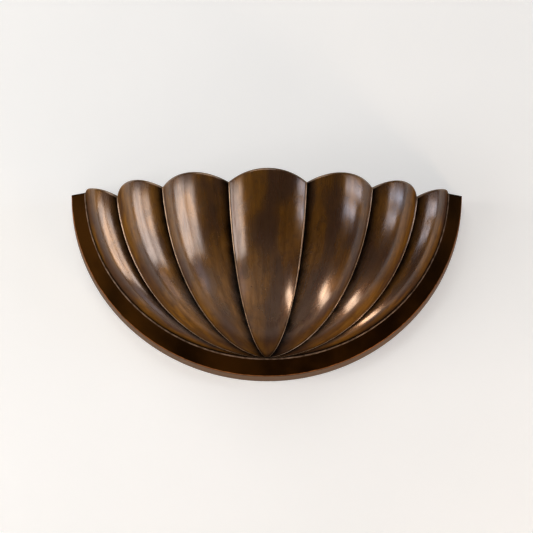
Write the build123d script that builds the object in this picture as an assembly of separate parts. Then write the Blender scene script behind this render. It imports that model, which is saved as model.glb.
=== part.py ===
from build123d import *
import math
import os

# Shell-shaped wall sconce, in millimetres. +Z is up, the wall is the plane Y = 0 and the light stands
# out from it towards -Y. The origin is midway between the wall bracket's two fixing holes, on the wall.
# A "depth" below is a distance out from the wall, so it is minus Y.

# ---- Rim: a flat return against the wall, then a sloping band up to the bowl ----
RIM_TOP = 65.0                 # height of the rim's two top corners
RIM_HALF_WIDTH = 200.0
RIM_DROP = 188.0               # from the top corners to the lowest point of the return
CENTRE_RISE = 8.0              # height of the curves' shared centre above the top corners
RETURN_DEPTH = 17.0
RETURN_DRAFT = 1.8             # how far the return leans in over its depth
BAND_DEPTH = 26.0              # depth of the band's inner edge, where the bowl begins
BAND_HALF_WIDTH = 183.0
BAND_DROP = 170.0
RIM_WALL = 2.0
LAND_SPARE = 0.6               # how much wider the bowl's seat is than the flute's wall
LEDGE_WIDTH = 13.0             # inner ledge that the back plate is screwed to

# ---- Bowl: seven flutes that meet on the valleys and run together at the lowest point ----
FLUTE_WALL = 2.4
BOWL_REACH = 103.0             # how far the inner valleys stand in front of the band at their top ends
OUTER_SETBACK, MIDDLE_SETBACK = 69.5, 29.0     # how much less the outer and the middle valleys reach
# Each valley at its top end: distance from the middle, reach in front of the band, drop below the rim's top.
OUTER_VALLEY = (149.0, BOWL_REACH - OUTER_SETBACK, 15.0)
MIDDLE_VALLEY = (102.0, BOWL_REACH - MIDDLE_SETBACK, 18.0)
INNER_VALLEY = (37.5, BOWL_REACH, 21.5)
# How far each flute swells out of the straight line between its valleys, and how far its top edge arches.
OUTER_SWELL, MIDDLE_SWELL, INNER_SWELL, CENTRE_SWELL = 9.0, 10.5, 11.0, 12.0
OUTER_ARCH, MIDDLE_ARCH, INNER_ARCH, CENTRE_ARCH = 4.7, 9.5, 9.2, 10.0
POLE_TURN = 1.2                # degrees of the flutes' curve left open at the lowest point
FLUTE_SECTIONS = 7
MERIDIAN_STEPS = 8

# ---- Back plate, and the wall bracket that it hangs on ----
SHEET = 2.0                    # steel sheet of the plate, the bracket and the lamp brackets
PLATE_DEPTH = 4.0              # depth of the plate's rear face
PLATE_CLEAR = 0.4              # between the plate's edge and the return
PLATE_TOP_DROP = 6.0           # the plate's top edge below the rim's top
BRACKET_WIDTH = 180.0
BRACKET_HEIGHT = 50.0
FIXING_SPACING = 120.0
FIXING_RADIUS = 2.75
CABLE_HOLE_RADIUS = 10.0
HOOK_SPACING = 160.0
HOOK_WIDTH = 10.0
HOOK_LIP = 10.0                # how far each hook stands up in front of the plate
HOOK_GAP = 0.5                 # between the plate and the hook's lip
LIFT = 12.0                    # how far the light is raised to come off its hooks
SLOT_SIDE_CLEAR = 1.0
SLOT_END_CLEAR = 0.3
PLATE_SCREW_ANGLES = (20.0, 55.0, 90.0, 125.0, 160.0)
PLATE_SCREW_RADIUS = 2.0
PLATE_SCREW_HEAD = 3.8
PLATE_SCREW_HEAD_HEIGHT = 1.8
THREAD_CLEAR = 0.05            # radial, between a thread's outside and its hole
HOLE_CLEAR = 0.3               # radial, between a fastener and a plain hole

# ---- Lock screw ----
LOCK_HEIGHT = -19.0
LOCK_SCREW_RADIUS = 2.5
LOCK_SCREW_LENGTH = 15.0
LOCK_TIP_GAP = 0.2
LOCK_HEAD_RADIUS = 7.5
LOCK_HEAD_LENGTH = 6.0
LOCK_HEAD_GROOVES = 16
LOCK_NUT_BODY = 3.5
LOCK_NUT_FLANGE = 5.5
LOCK_NUT_HEIGHT = 3.0

# ---- Lamp brackets and lampholders ----
LAMP_X = 72.0
LAMP_DEPTH = 50.0
SHELF_TOP = -54.0
SHELF_WIDTH = 30.0
SHELF_END = 65.0               # depth of the shelf's front edge
LEG_TOP = -24.0
RIVET_SPACING = 16.0
RIVET_HEIGHT = -32.0
RIVET_RADIUS = 2.0
RIVET_HEAD = 3.6
RIVET_HEAD_HEIGHT = 1.4
HOLDER_RADIUS = 14.0
HOLDER_HEIGHT = 42.0
HOLDER_FLOOR = 14.0            # height of the socket's floor above the shelf
SOCKET_RADIUS = 7.1            # inside of the threaded contact shell
CONTACT_SHELL_WALL = 1.0
CONTACT_SHELL_HEIGHT = 24.0
SOCKET_CLEAR = 0.1
CONTACT_RADIUS = 2.5
CONTACT_HEIGHT = 6.0
NIPPLE_RADIUS = 5.0
NIPPLE_BORE = 3.5
NIPPLE_ABOVE = 8.0
NIPPLE_BELOW = 7.0
NIPPLE_NUT_SIZE = 14.0         # across flats
NIPPLE_NUT_HEIGHT = 3.0

# ---- Lamps: small round bulbs with a 14 mm screw cap ----
CAP_RADIUS = 6.8
CAP_HEIGHT = 19.0
CAP_GROOVES = 5
CAP_GROOVE_DEPTH = 0.5
INSULATOR_HEIGHT = 2.0
INSULATOR_RADIUS = 5.5
TIP_RADIUS = 2.4
TIP_HEIGHT = 1.0
BULB_RADIUS = 22.5
BULB_TOP = 78.0                # from the lamp's tip to the top of its glass
GLASS_WALL = 1.0
NECK_RADIUS = 6.3
NECK_TURN = 50.0               # degrees below the ball's middle, where the neck runs into it
STEM_RADIUS = 2.4
STEM_HEIGHT = 26.0
STEM_DISC_RADIUS = 6.0
STEM_DISC_HEIGHT = 1.2
FILAMENTS = 4
FILAMENT_RADIUS = 0.8
FILAMENT_HEIGHT = 20.0
FILAMENT_CIRCLE = 4.5

# ---- Wiring ----
POLES = 5
POLE_PITCH = 8.0
BLOCK_FOOT = 34.0
BLOCK_HEIGHT = 16.0
BLOCK_DEPTH = 14.0
BLOCK_END = 5.0                # plastic past the last pole's middle
WIRE_RADIUS = 0.9
WIRE_HOLE_RADIUS = 1.3
WIRE_HOLE_LENGTH = 6.0
WIRE_STAND_OFF = 3.0           # middle of the wire holes in front of the plate
POLE_SCREW_RADIUS = 1.6
POLE_SCREW_LENGTH = 2.0
GROMMET_BORE = 5.0
GROMMET_NECK = 8.0
GROMMET_FLANGE = 9.8
GROMMET_FLANGE_HEIGHT = 1.5
EARTH_HEIGHT = 21.0
EARTH_STUD_RADIUS = 2.0
EARTH_STUD_LENGTH = 7.0
EARTH_NUT_SIZE = 7.0           # across flats
EARTH_NUT_HEIGHT = 3.2
RING_RADIUS = 3.8
RING_SHEET = 1.0
RING_BARREL_RADIUS = 1.7
RING_BARREL_FOOT = 26.0
RING_BARREL_LENGTH = 5.0
RING_NECK = 0.8                # half width of the ring's neck as a share of its barrel's radius
PAIR_GAP = 1.2                 # half the spacing of a lamp's two wires in the nipple
WIRE_END_GAP = 1.0             # between a wire's end and the bottom of its hole
WIRE_FALL = 16.0               # straight fall of a lamp wire below the block
# Each bend of a lamp wire beside the lamp bracket: how far it lies inside the lamp's middle, in front of
# the block's wire holes and above the shelf, and how much of the poles' spacing the wires keep there.
WIRE_BENDS = ((42.0, 2.0, 46.0, 0.8), (29.0, 4.0, 20.0, 0.6), (23.0, 11.0, 0.0, 0.5))
WIRE_LOOP = (13.0, 15.0, 9.0)  # the lowest bend, inside, behind and below the nipple's foot
BEND_SHARE = 0.45              # how much of its shorter run each arc of a wire takes up
OVERCUT = 1.0                  # how far a cut runs past the face that it opens

# ---- Places worked out from the sizes above ----
PLATE_FRONT = PLATE_DEPTH + SHEET
WIRE_DEPTH = PLATE_FRONT + WIRE_STAND_OFF
WIRE_TOP = BLOCK_FOOT + WIRE_HOLE_LENGTH - WIRE_END_GAP
HOOK_TOP = BRACKET_HEIGHT / 2
SHELF_FOOT = SHELF_TOP - SHEET
NIPPLE_FOOT = SHELF_FOOT - NIPPLE_BELOW
FLOOR_HEIGHT = SHELF_TOP + HOLDER_FLOOR
TIP_FOOT = FLOOR_HEIGHT + CONTACT_HEIGHT
CAP_FOOT = TIP_FOOT + TIP_HEIGHT + INSULATOR_HEIGHT
CAP_TOP = CAP_FOOT + CAP_HEIGHT
SIDES = {"left": -1, "right": 1}

os.makedirs("parts", exist_ok=True)


# ---- Shapes that several pieces share ----
def block(x_low, x_high, near, far, low, high):
    """A box between two X values, two depths and two heights."""
    size = (x_high - x_low, far - near, high - low)
    return Pos((x_low + x_high) / 2, -(near + far) / 2, (low + high) / 2) * Box(*size)


def rod(x, z, radius, near, far):
    """A round bar square to the wall, from one depth to another."""
    base = Plane(origin=(x, -near, z), x_dir=(1, 0, 0), z_dir=(0, -1, 0))
    return extrude(base * Circle(radius), far - near)


def post(x, depth, radius, low, high):
    """A round upright bar from one height to another."""
    return extrude(Plane((x, -depth, low)) * Circle(radius), high - low)


def hexagon(plane, across_flats, height):
    """A hexagonal prism that stands on a plane."""
    return extrude(plane * RegularPolygon(across_flats / 2, 6, major_radius=False), height)


def half_oval(half_width, drop, depth, top=RIM_TOP):
    """The lower part of an ellipse about the shared centre, cut level at a height, at one depth."""
    centre = RIM_TOP + CENTRE_RISE
    plane = Plane(origin=(0, -depth, centre), x_dir=(1, 0, 0), z_dir=(0, -1, 0))
    cut = math.degrees(math.asin((centre - top) / (drop + CENTRE_RISE)))
    curve = Edge.make_ellipse(half_width, drop + CENTRE_RISE, plane=plane, start_angle=180 + cut,
                              end_angle=360 - cut)
    return Wire([curve, Edge.make_line(curve @ 1, curve @ 0)])


def half_oval_plate(half_width, drop, near, far, top=RIM_TOP):
    """A flat half-ellipse plate between two depths."""
    return extrude(Face(half_oval(half_width, drop, near, top)), far - near, dir=(0, -1, 0))


def save(name, *solids):
    """Write one node's solids to its own file."""
    shape = solids[0] if len(solids) == 1 else Compound(children=list(solids))
    export_step(shape, f"parts/{name}.step")


# ---- Rim ----
def return_inset(depth):
    """How far the return has leaned in at a depth."""
    return RETURN_DRAFT * depth / RETURN_DEPTH


def rim_body(inset, top):
    """The rim's filled shape, drawn in by a wall on every side."""
    front = RETURN_DEPTH - inset / 2
    return Solid.make_loft([
        half_oval(RIM_HALF_WIDTH - inset, RIM_DROP - inset, 0.0, top),
        half_oval(RIM_HALF_WIDTH - RETURN_DRAFT - inset, RIM_DROP - RETURN_DRAFT - inset, front, top),
        half_oval(BAND_HALF_WIDTH - inset, BAND_DROP - inset, BAND_DEPTH - inset, top),
    ], True)


def rim_frame():
    """Return, sloping band, the flutes' seat, the closed top ends and the ledge for the back plate."""
    seat = FLUTE_WALL + LAND_SPARE
    opening = half_oval_plate(BAND_HALF_WIDTH - seat, BAND_DROP - seat, -RIM_WALL, BAND_DEPTH + RIM_WALL,
                              RIM_TOP + RIM_WALL)
    shell = rim_body(0.0, RIM_TOP) - rim_body(RIM_WALL, RIM_TOP - RIM_WALL) - opening
    outer = RIM_WALL / 2 + return_inset(PLATE_FRONT + SHEET)
    ledge = half_oval_plate(RIM_HALF_WIDTH - outer, RIM_DROP - outer, PLATE_FRONT, PLATE_FRONT + SHEET,
                            RIM_TOP - RIM_WALL / 2)
    ledge -= half_oval_plate(RIM_HALF_WIDTH - RIM_WALL - LEDGE_WIDTH, RIM_DROP - RIM_WALL - LEDGE_WIDTH,
                             PLATE_DEPTH, PLATE_FRONT + 2 * SHEET, RIM_TOP + RIM_WALL)
    frame = shell + ledge
    for x, z in plate_screw_places():
        frame -= rod(x, z, PLATE_SCREW_RADIUS + THREAD_CLEAR, PLATE_DEPTH, PLATE_FRONT + 2 * SHEET)
    return frame


def plate_screw_places():
    """Points along the middle of the ledge."""
    inset = RIM_WALL + LEDGE_WIDTH / 2
    return [((RIM_HALF_WIDTH - inset) * math.cos(math.radians(angle)),
             RIM_TOP + CENTRE_RISE - (RIM_DROP + CENTRE_RISE - inset) * math.sin(math.radians(angle)))
            for angle in PLATE_SCREW_ANGLES]


# ---- Flutes ----
def rib_points():
    """The eight upright joints of the bowl in plan, from the right rim round to the left rim."""
    right = [(BAND_HALF_WIDTH, 0.0, 0.0), OUTER_VALLEY, MIDDLE_VALLEY, INNER_VALLEY]
    return right + [(-x, reach, drop) for x, reach, drop in reversed(right)]


def flute_plan(start, end, swell, arch, share):
    """A point of the flute's top edge: x, reach in front of the band, and drop below the rim's top."""
    chord = math.dist(start[:2], end[:2])
    radius = (chord * chord / 4 + swell * swell) / (2 * swell)
    half_turn = math.asin(chord / 2 / radius)
    along = ((end[0] - start[0]) / chord, (end[1] - start[1]) / chord)
    outward = (along[1], -along[0])
    angle = share * half_turn
    forward = radius * math.sin(angle)
    rise = radius * math.cos(angle) - radius + swell
    x = (start[0] + end[0]) / 2 + forward * along[0] + rise * outward[0]
    reach = (start[1] + end[1]) / 2 + forward * along[1] + rise * outward[1]
    drop = start[2] + (end[2] - start[2]) * (share + 1) / 2 - arch * (1 - share * share)
    return x, reach, max(drop, 0.0)


def meridian(x, reach, drop, inset):
    """Points on one upright quarter ellipse of the bowl, from near its lowest point to the top edge."""
    radius = math.hypot(x, reach)
    height = BAND_DROP + CENTRE_RISE - inset
    first = math.radians(POLE_TURN)
    last = math.acos((drop + CENTRE_RISE) / height)
    points = []
    for step in range(MERIDIAN_STEPS + 1):
        turn = first + (last - first) * step / MERIDIAN_STEPS
        out = (radius - inset) * math.sin(turn) / radius
        points.append((x * out, -BAND_DEPTH - reach * out, RIM_TOP + CENTRE_RISE - height * math.cos(turn)))
    return points


def flute_section(x, reach, drop):
    """The flute's wall cut by the upright plane through the bowl's axis."""
    outer = Spline(*meridian(x, reach, drop, 0.0))
    inner = Spline(*meridian(x, reach, drop, FLUTE_WALL))
    return Wire([outer, Line(outer @ 1, inner @ 1), inner, Line(inner @ 0, outer @ 0)])


def flute(start, end, swell, arch):
    """One curved sheet between two valleys, with an arched top edge."""
    last = FLUTE_SECTIONS - 1
    plans = [flute_plan(start, end, swell, arch, 2 * step / last - 1) for step in range(FLUTE_SECTIONS)]
    return Solid.make_loft([flute_section(*plan) for plan in plans])


def flutes():
    """The seven flutes by name."""
    ribs = rib_points()
    names = ("right_outer", "right_middle", "right_inner", "centre",
             "left_inner", "left_middle", "left_outer")
    swells = (OUTER_SWELL, MIDDLE_SWELL, INNER_SWELL, CENTRE_SWELL, INNER_SWELL, MIDDLE_SWELL, OUTER_SWELL)
    arches = (OUTER_ARCH, MIDDLE_ARCH, INNER_ARCH, CENTRE_ARCH, INNER_ARCH, MIDDLE_ARCH, OUTER_ARCH)
    return {f"flute_{name}": flute(ribs[i], ribs[i + 1], swells[i], arches[i])
            for i, name in enumerate(names)}


# ---- Wall bracket and back plate ----
def wall_bracket():
    """Sheet strap with two round fixing holes, a cable hole and two upturned hooks."""
    bracket = block(-BRACKET_WIDTH / 2, BRACKET_WIDTH / 2, 0.0, SHEET, -BRACKET_HEIGHT / 2, HOOK_TOP)
    for side in SIDES.values():
        bracket -= rod(side * FIXING_SPACING / 2, 0.0, FIXING_RADIUS, -SHEET, 2 * SHEET)
        middle = side * HOOK_SPACING / 2
        left, right = middle - HOOK_WIDTH / 2, middle + HOOK_WIDTH / 2
        lip = PLATE_FRONT + HOOK_GAP
        bracket += block(left, right, 0.0, lip + SHEET, HOOK_TOP - SHEET, HOOK_TOP)
        bracket += block(left, right, lip, lip + SHEET, HOOK_TOP - SHEET, HOOK_TOP + HOOK_LIP)
    return bracket - rod(0.0, 0.0, CABLE_HOLE_RADIUS, -SHEET, 2 * SHEET)


def back_plate():
    """Half-ellipse plate with hook slots and holes for all that it carries."""
    edge = RIM_WALL + return_inset(PLATE_FRONT) + PLATE_CLEAR
    plate = half_oval_plate(RIM_HALF_WIDTH - edge, RIM_DROP - edge, PLATE_DEPTH, PLATE_FRONT)
    near, far = PLATE_DEPTH - SHEET, PLATE_FRONT + SHEET
    plate -= block(-RIM_HALF_WIDTH, RIM_HALF_WIDTH, near, far, RIM_TOP - PLATE_TOP_DROP, RIM_TOP + SHEET)
    slot_foot = HOOK_TOP - SHEET - LIFT - SLOT_END_CLEAR
    slot_half = HOOK_WIDTH / 2 + SLOT_SIDE_CLEAR
    for side in SIDES.values():
        middle = side * HOOK_SPACING / 2
        plate -= block(middle - slot_half, middle + slot_half, near, far, slot_foot, HOOK_TOP)
    for x, z in plate_screw_places():
        plate -= rod(x, z, PLATE_SCREW_RADIUS + HOLE_CLEAR, near, far)
    for x in rivet_places():
        plate -= rod(x, RIVET_HEIGHT, RIVET_RADIUS + THREAD_CLEAR, near, far)
    plate -= rod(0.0, 0.0, GROMMET_NECK, near, far)
    return plate - rod(0.0, LOCK_HEIGHT, LOCK_NUT_BODY, near, far)


def plate_screws():
    """Pan-head screws from the back of the plate into the rim's ledge."""
    head = PLATE_DEPTH - PLATE_SCREW_HEAD_HEIGHT
    return [rod(x, z, PLATE_SCREW_HEAD, head, PLATE_DEPTH)
            + rod(x, z, PLATE_SCREW_RADIUS, PLATE_DEPTH, PLATE_FRONT + SHEET)
            for x, z in plate_screw_places()]


# ---- Lock screw ----
def lock_nut():
    """Flanged clinch nut set into the back plate."""
    nut = rod(0.0, LOCK_HEIGHT, LOCK_NUT_BODY, PLATE_DEPTH, PLATE_FRONT)
    nut += rod(0.0, LOCK_HEIGHT, LOCK_NUT_FLANGE, PLATE_FRONT, PLATE_FRONT + LOCK_NUT_HEIGHT)
    return nut - rod(0.0, LOCK_HEIGHT, LOCK_SCREW_RADIUS + THREAD_CLEAR, 0.0, LOCK_SCREW_LENGTH)


def lock_screw():
    """Thumb screw with a fluted head; its tip bears on the wall bracket."""
    tip = SHEET + LOCK_TIP_GAP
    head = tip + LOCK_SCREW_LENGTH
    screw = rod(0.0, LOCK_HEIGHT, LOCK_SCREW_RADIUS, tip, head)
    screw += rod(0.0, LOCK_HEIGHT, LOCK_HEAD_RADIUS, head, head + LOCK_HEAD_LENGTH)
    groove = math.pi * LOCK_HEAD_RADIUS / LOCK_HEAD_GROOVES / 2
    for step in range(LOCK_HEAD_GROOVES):
        angle = 2 * math.pi * step / LOCK_HEAD_GROOVES
        x, z = LOCK_HEAD_RADIUS * math.cos(angle), LOCK_HEIGHT + LOCK_HEAD_RADIUS * math.sin(angle)
        screw -= rod(x, z, groove, head - OVERCUT, head + LOCK_HEAD_LENGTH + OVERCUT)
    return screw


# ---- Lamp brackets and holders ----
def rivet_places():
    """X of the four rivets, two to a lamp bracket."""
    return [side * LAMP_X + step * RIVET_SPACING / 2 for side in SIDES.values() for step in (-1, 1)]


def lamp_bracket(side):
    """Angle of sheet steel: a leg on the back plate and a shelf under the lampholder."""
    left, right = side * LAMP_X - SHELF_WIDTH / 2, side * LAMP_X + SHELF_WIDTH / 2
    angle = block(left, right, PLATE_FRONT, PLATE_FRONT + SHEET, SHELF_FOOT, LEG_TOP)
    angle += block(left, right, PLATE_FRONT, SHELF_END, SHELF_FOOT, SHELF_TOP)
    corners = angle.edges().filter_by(Axis.Z).sort_by(Axis.Y)[:2]
    angle = fillet(corners, SHELF_WIDTH / 4)
    for step in (-1, 1):
        angle -= rod(side * LAMP_X + step * RIVET_SPACING / 2, RIVET_HEIGHT, RIVET_RADIUS + THREAD_CLEAR,
                     PLATE_DEPTH, PLATE_FRONT + 2 * SHEET)
    return angle - post(side * LAMP_X, LAMP_DEPTH, NIPPLE_RADIUS + HOLE_CLEAR, SHELF_FOOT - OVERCUT,
                        SHELF_TOP + OVERCUT)


def rivets():
    """Round-headed rivets through the plate and the brackets' legs."""
    front = PLATE_FRONT + SHEET
    return [rod(x, RIVET_HEIGHT, RIVET_RADIUS, PLATE_DEPTH, front)
            + rod(x, RIVET_HEIGHT, RIVET_HEAD, PLATE_DEPTH - RIVET_HEAD_HEIGHT, PLATE_DEPTH)
            + rod(x, RIVET_HEIGHT, RIVET_HEAD, front, front + RIVET_HEAD_HEIGHT)
            for x in rivet_places()]


def lampholder(x):
    """Moulded holder body with a deep socket above and the nipple's hole below."""
    shell = SOCKET_RADIUS + CONTACT_SHELL_WALL + SOCKET_CLEAR
    body = post(x, LAMP_DEPTH, HOLDER_RADIUS, SHELF_TOP, SHELF_TOP + HOLDER_HEIGHT)
    body = fillet(body.edges().filter_by(GeomType.CIRCLE).sort_by(Axis.Z)[-1], (HOLDER_RADIUS - shell) / 4)
    body -= post(x, LAMP_DEPTH, shell, FLOOR_HEIGHT, SHELF_TOP + HOLDER_HEIGHT + OVERCUT)
    body -= post(x, LAMP_DEPTH, NIPPLE_RADIUS + THREAD_CLEAR, SHELF_TOP - OVERCUT, SHELF_TOP + NIPPLE_ABOVE)
    return body


def contact_shell(x):
    """Threaded metal sleeve that takes the lamp's cap."""
    outer = SOCKET_RADIUS + CONTACT_SHELL_WALL
    sleeve = post(x, LAMP_DEPTH, outer, FLOOR_HEIGHT, FLOOR_HEIGHT + CONTACT_SHELL_HEIGHT)
    return sleeve - post(x, LAMP_DEPTH, SOCKET_RADIUS, FLOOR_HEIGHT - OVERCUT,
                         FLOOR_HEIGHT + CONTACT_SHELL_HEIGHT + OVERCUT)


def centre_contact(x):
    """Sprung tongue in the socket's floor, drawn as a stud."""
    return post(x, LAMP_DEPTH, CONTACT_RADIUS, FLOOR_HEIGHT, TIP_FOOT)


def nipple(x):
    """Hollow threaded tube that holds the lampholder down and leads its wires in."""
    tube = post(x, LAMP_DEPTH, NIPPLE_RADIUS, NIPPLE_FOOT, SHELF_TOP + NIPPLE_ABOVE)
    return tube - post(x, LAMP_DEPTH, NIPPLE_BORE, NIPPLE_FOOT - OVERCUT, SHELF_TOP + NIPPLE_ABOVE + OVERCUT)


def nipple_nut(x):
    """Hexagonal nut under the shelf."""
    plane = Plane((x, -LAMP_DEPTH, SHELF_FOOT - NIPPLE_NUT_HEIGHT))
    nut = hexagon(plane, NIPPLE_NUT_SIZE, NIPPLE_NUT_HEIGHT)
    return nut - post(x, LAMP_DEPTH, NIPPLE_RADIUS + THREAD_CLEAR, NIPPLE_FOOT, SHELF_TOP)


# ---- Lamps ----
def turned(x, outline):
    """A shape turned about a lamp's upright axis from (radius, height) points and arcs."""
    at = Plane(origin=(x, -LAMP_DEPTH, 0), x_dir=(1, 0, 0), z_dir=(0, -1, 0))
    return revolve(at * outline, Axis((x, -LAMP_DEPTH, 0), (0, 0, 1)))


def lamp_tip(x):
    """Solder contact at the foot of the cap."""
    return post(x, LAMP_DEPTH, TIP_RADIUS, TIP_FOOT, TIP_FOOT + TIP_HEIGHT)


def lamp_insulator(x):
    """Dark glass cone between the tip and the cap."""
    low = TIP_FOOT + TIP_HEIGHT
    corners = [(0, low), (TIP_RADIUS, low), (INSULATOR_RADIUS, CAP_FOOT), (0, CAP_FOOT), (0, low)]
    return turned(x, make_face(Polyline(*corners)))


def lamp_cap(x):
    """Screw cap, its thread drawn as level grooves."""
    cap = post(x, LAMP_DEPTH, CAP_RADIUS, CAP_FOOT, CAP_TOP)
    pitch = CAP_HEIGHT / (CAP_GROOVES + 2)
    for step in range(CAP_GROOVES):
        middle = CAP_FOOT + pitch * (step + 1)
        ring = post(x, LAMP_DEPTH, CAP_RADIUS + OVERCUT, middle - pitch / 4, middle + pitch / 4)
        cap -= ring - post(x, LAMP_DEPTH, CAP_RADIUS - CAP_GROOVE_DEPTH, middle - pitch, middle + pitch)
    return cap


def bulb_outline(inset):
    """Half section of the bulb's glass, drawn in by a wall: a neck and a ball."""
    radius = BULB_RADIUS - inset
    centre = TIP_FOOT + BULB_TOP - BULB_RADIUS
    neck = NECK_RADIUS - inset
    meet = -math.radians(NECK_TURN)
    ball_start = (radius * math.cos(meet), centre + radius * math.sin(meet))
    side = Spline((neck, CAP_TOP), ball_start, tangents=((0, 1), (-math.sin(meet), math.cos(meet))))
    ball = ThreePointArc(ball_start, (radius, centre), (0, centre + radius))
    axis, foot = Line((0, centre + radius), (0, CAP_TOP)), Line((0, CAP_TOP), (neck, CAP_TOP))
    return make_face([side, ball, axis, foot])


def lamp_glass(x):
    """Thin bulb, open at the neck where it stands on the cap."""
    return turned(x, bulb_outline(0.0)) - turned(x, bulb_outline(GLASS_WALL))


def lamp_stem(x):
    """Glass post with a small disc that carries the filaments."""
    disc = CAP_TOP + STEM_HEIGHT / 3
    stem = post(x, LAMP_DEPTH, STEM_RADIUS, CAP_TOP, CAP_TOP + STEM_HEIGHT)
    return stem + post(x, LAMP_DEPTH, STEM_DISC_RADIUS, disc - STEM_DISC_HEIGHT, disc)


def lamp_filaments(x):
    """Thin upright light sticks standing on the stem's disc."""
    low = CAP_TOP + STEM_HEIGHT / 3
    turns = [math.pi * (2 * step + 1) / FILAMENTS for step in range(FILAMENTS)]
    return [post(x + FILAMENT_CIRCLE * math.cos(turn), LAMP_DEPTH + FILAMENT_CIRCLE * math.sin(turn),
                 FILAMENT_RADIUS, low, low + FILAMENT_HEIGHT) for turn in turns]


# ---- Wiring ----
def pole_places():
    """X of the terminal block's poles."""
    return [(step - (POLES - 1) / 2) * POLE_PITCH for step in range(POLES)]


def terminal_block():
    """Plastic block with a wire hole below and a screw well in front at each pole."""
    half = (POLES - 1) / 2 * POLE_PITCH + BLOCK_END
    front = PLATE_FRONT + BLOCK_DEPTH
    shape = block(-half, half, PLATE_FRONT, front, BLOCK_FOOT, BLOCK_FOOT + BLOCK_HEIGHT)
    for x in pole_places():
        shape -= post(x, WIRE_DEPTH, WIRE_HOLE_RADIUS, BLOCK_FOOT - OVERCUT, BLOCK_FOOT + WIRE_HOLE_LENGTH)
        shape -= rod(x, BLOCK_FOOT + BLOCK_HEIGHT / 2, POLE_SCREW_RADIUS + HOLE_CLEAR,
                     front - 2 * POLE_SCREW_LENGTH, front + OVERCUT)
    return shape


def pole_screws():
    """Slotted screws at the bottom of the block's wells."""
    low = PLATE_FRONT + BLOCK_DEPTH - 2 * POLE_SCREW_LENGTH
    middle = BLOCK_FOOT + BLOCK_HEIGHT / 2
    slot = POLE_SCREW_RADIUS / 3
    return [rod(x, middle, POLE_SCREW_RADIUS, low, low + POLE_SCREW_LENGTH)
            - block(x - 2 * POLE_SCREW_RADIUS, x + 2 * POLE_SCREW_RADIUS, low + POLE_SCREW_LENGTH / 2,
                    low + 2 * POLE_SCREW_LENGTH, middle - slot / 2, middle + slot / 2)
            for x in pole_places()]


def cable_grommet():
    """Rubber bush in the plate, where the supply cable comes in."""
    rear, front = PLATE_DEPTH - GROMMET_FLANGE_HEIGHT, PLATE_FRONT + GROMMET_FLANGE_HEIGHT
    bush = rod(0.0, 0.0, GROMMET_NECK, rear, front)
    bush += rod(0.0, 0.0, GROMMET_FLANGE, rear, PLATE_DEPTH)
    bush += rod(0.0, 0.0, GROMMET_FLANGE, PLATE_FRONT, front)
    return bush - rod(0.0, 0.0, GROMMET_BORE, rear - OVERCUT, front + OVERCUT)


def earth_stud():
    """Threaded stud welded to the front of the plate."""
    return rod(0.0, EARTH_HEIGHT, EARTH_STUD_RADIUS, PLATE_FRONT, PLATE_FRONT + EARTH_STUD_LENGTH)


def earth_nut():
    """Hexagonal nut that clamps the earth wire's ring."""
    low = PLATE_FRONT + RING_SHEET
    plane = Plane(origin=(0, -low, EARTH_HEIGHT), x_dir=(1, 0, 0), z_dir=(0, -1, 0))
    nut = hexagon(plane, EARTH_NUT_SIZE, EARTH_NUT_HEIGHT)
    return nut - rod(0.0, EARTH_HEIGHT, EARTH_STUD_RADIUS + THREAD_CLEAR, PLATE_FRONT,
                     low + 2 * EARTH_NUT_HEIGHT)


def earth_ring():
    """Ring terminal: a flat eye, a neck and a barrel crimped on the earth wire."""
    ring = rod(0.0, EARTH_HEIGHT, RING_RADIUS, PLATE_FRONT, PLATE_FRONT + RING_SHEET)
    neck = RING_BARREL_RADIUS * RING_NECK
    ring += block(-neck, neck, PLATE_FRONT, PLATE_FRONT + RING_SHEET, EARTH_HEIGHT, RING_BARREL_FOOT)
    ring += block(-neck, neck, PLATE_FRONT, WIRE_DEPTH, RING_BARREL_FOOT - RING_SHEET / 2, RING_BARREL_FOOT)
    ring += post(0.0, WIRE_DEPTH, RING_BARREL_RADIUS, RING_BARREL_FOOT - RING_SHEET / 2,
                 RING_BARREL_FOOT + RING_BARREL_LENGTH)
    ring -= post(0.0, WIRE_DEPTH, WIRE_RADIUS, RING_BARREL_FOOT + WIRE_END_GAP,
                 RING_BARREL_FOOT + RING_BARREL_LENGTH + OVERCUT)
    return ring - rod(0.0, EARTH_HEIGHT, EARTH_STUD_RADIUS + THREAD_CLEAR, PLATE_DEPTH, WIRE_DEPTH)


def earth_wire():
    """Short straight wire from the ring terminal up into the middle pole."""
    return post(0.0, WIRE_DEPTH, WIRE_RADIUS, RING_BARREL_FOOT + WIRE_END_GAP, WIRE_TOP)


def wire_route(side, pole, lane):
    """Corners of one lamp wire, from a pole down past the lamp bracket and up into the nipple."""
    start = pole * POLE_PITCH
    end = LAMP_X + lane * PAIR_GAP
    shift = start - (POLES - 1) / 2 * POLE_PITCH
    inside, behind, below = WIRE_LOOP
    corners = [(start, WIRE_DEPTH, WIRE_TOP), (start, WIRE_DEPTH, BLOCK_FOOT - WIRE_FALL)]
    corners += [(LAMP_X - gap + shift * share, WIRE_DEPTH + forward, SHELF_TOP + above)
                for gap, forward, above, share in WIRE_BENDS]
    corners += [(end - inside, LAMP_DEPTH - behind, NIPPLE_FOOT - below),
                (end, LAMP_DEPTH, NIPPLE_FOOT - below), (end, LAMP_DEPTH, SHELF_TOP)]
    return [Vector(side * x, -depth, z) for x, depth, z in corners]


def bend_radii(corners):
    """The largest arc that its share of the shorter neighbouring run allows at each corner."""
    radii = []
    for before, here, after in zip(corners, corners[1:], corners[2:]):
        half_turn = math.radians((here - before).get_angle(after - here)) / 2
        radii.append(BEND_SHARE * min((here - before).length, (after - here).length) / math.tan(half_turn))
    return radii


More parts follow.
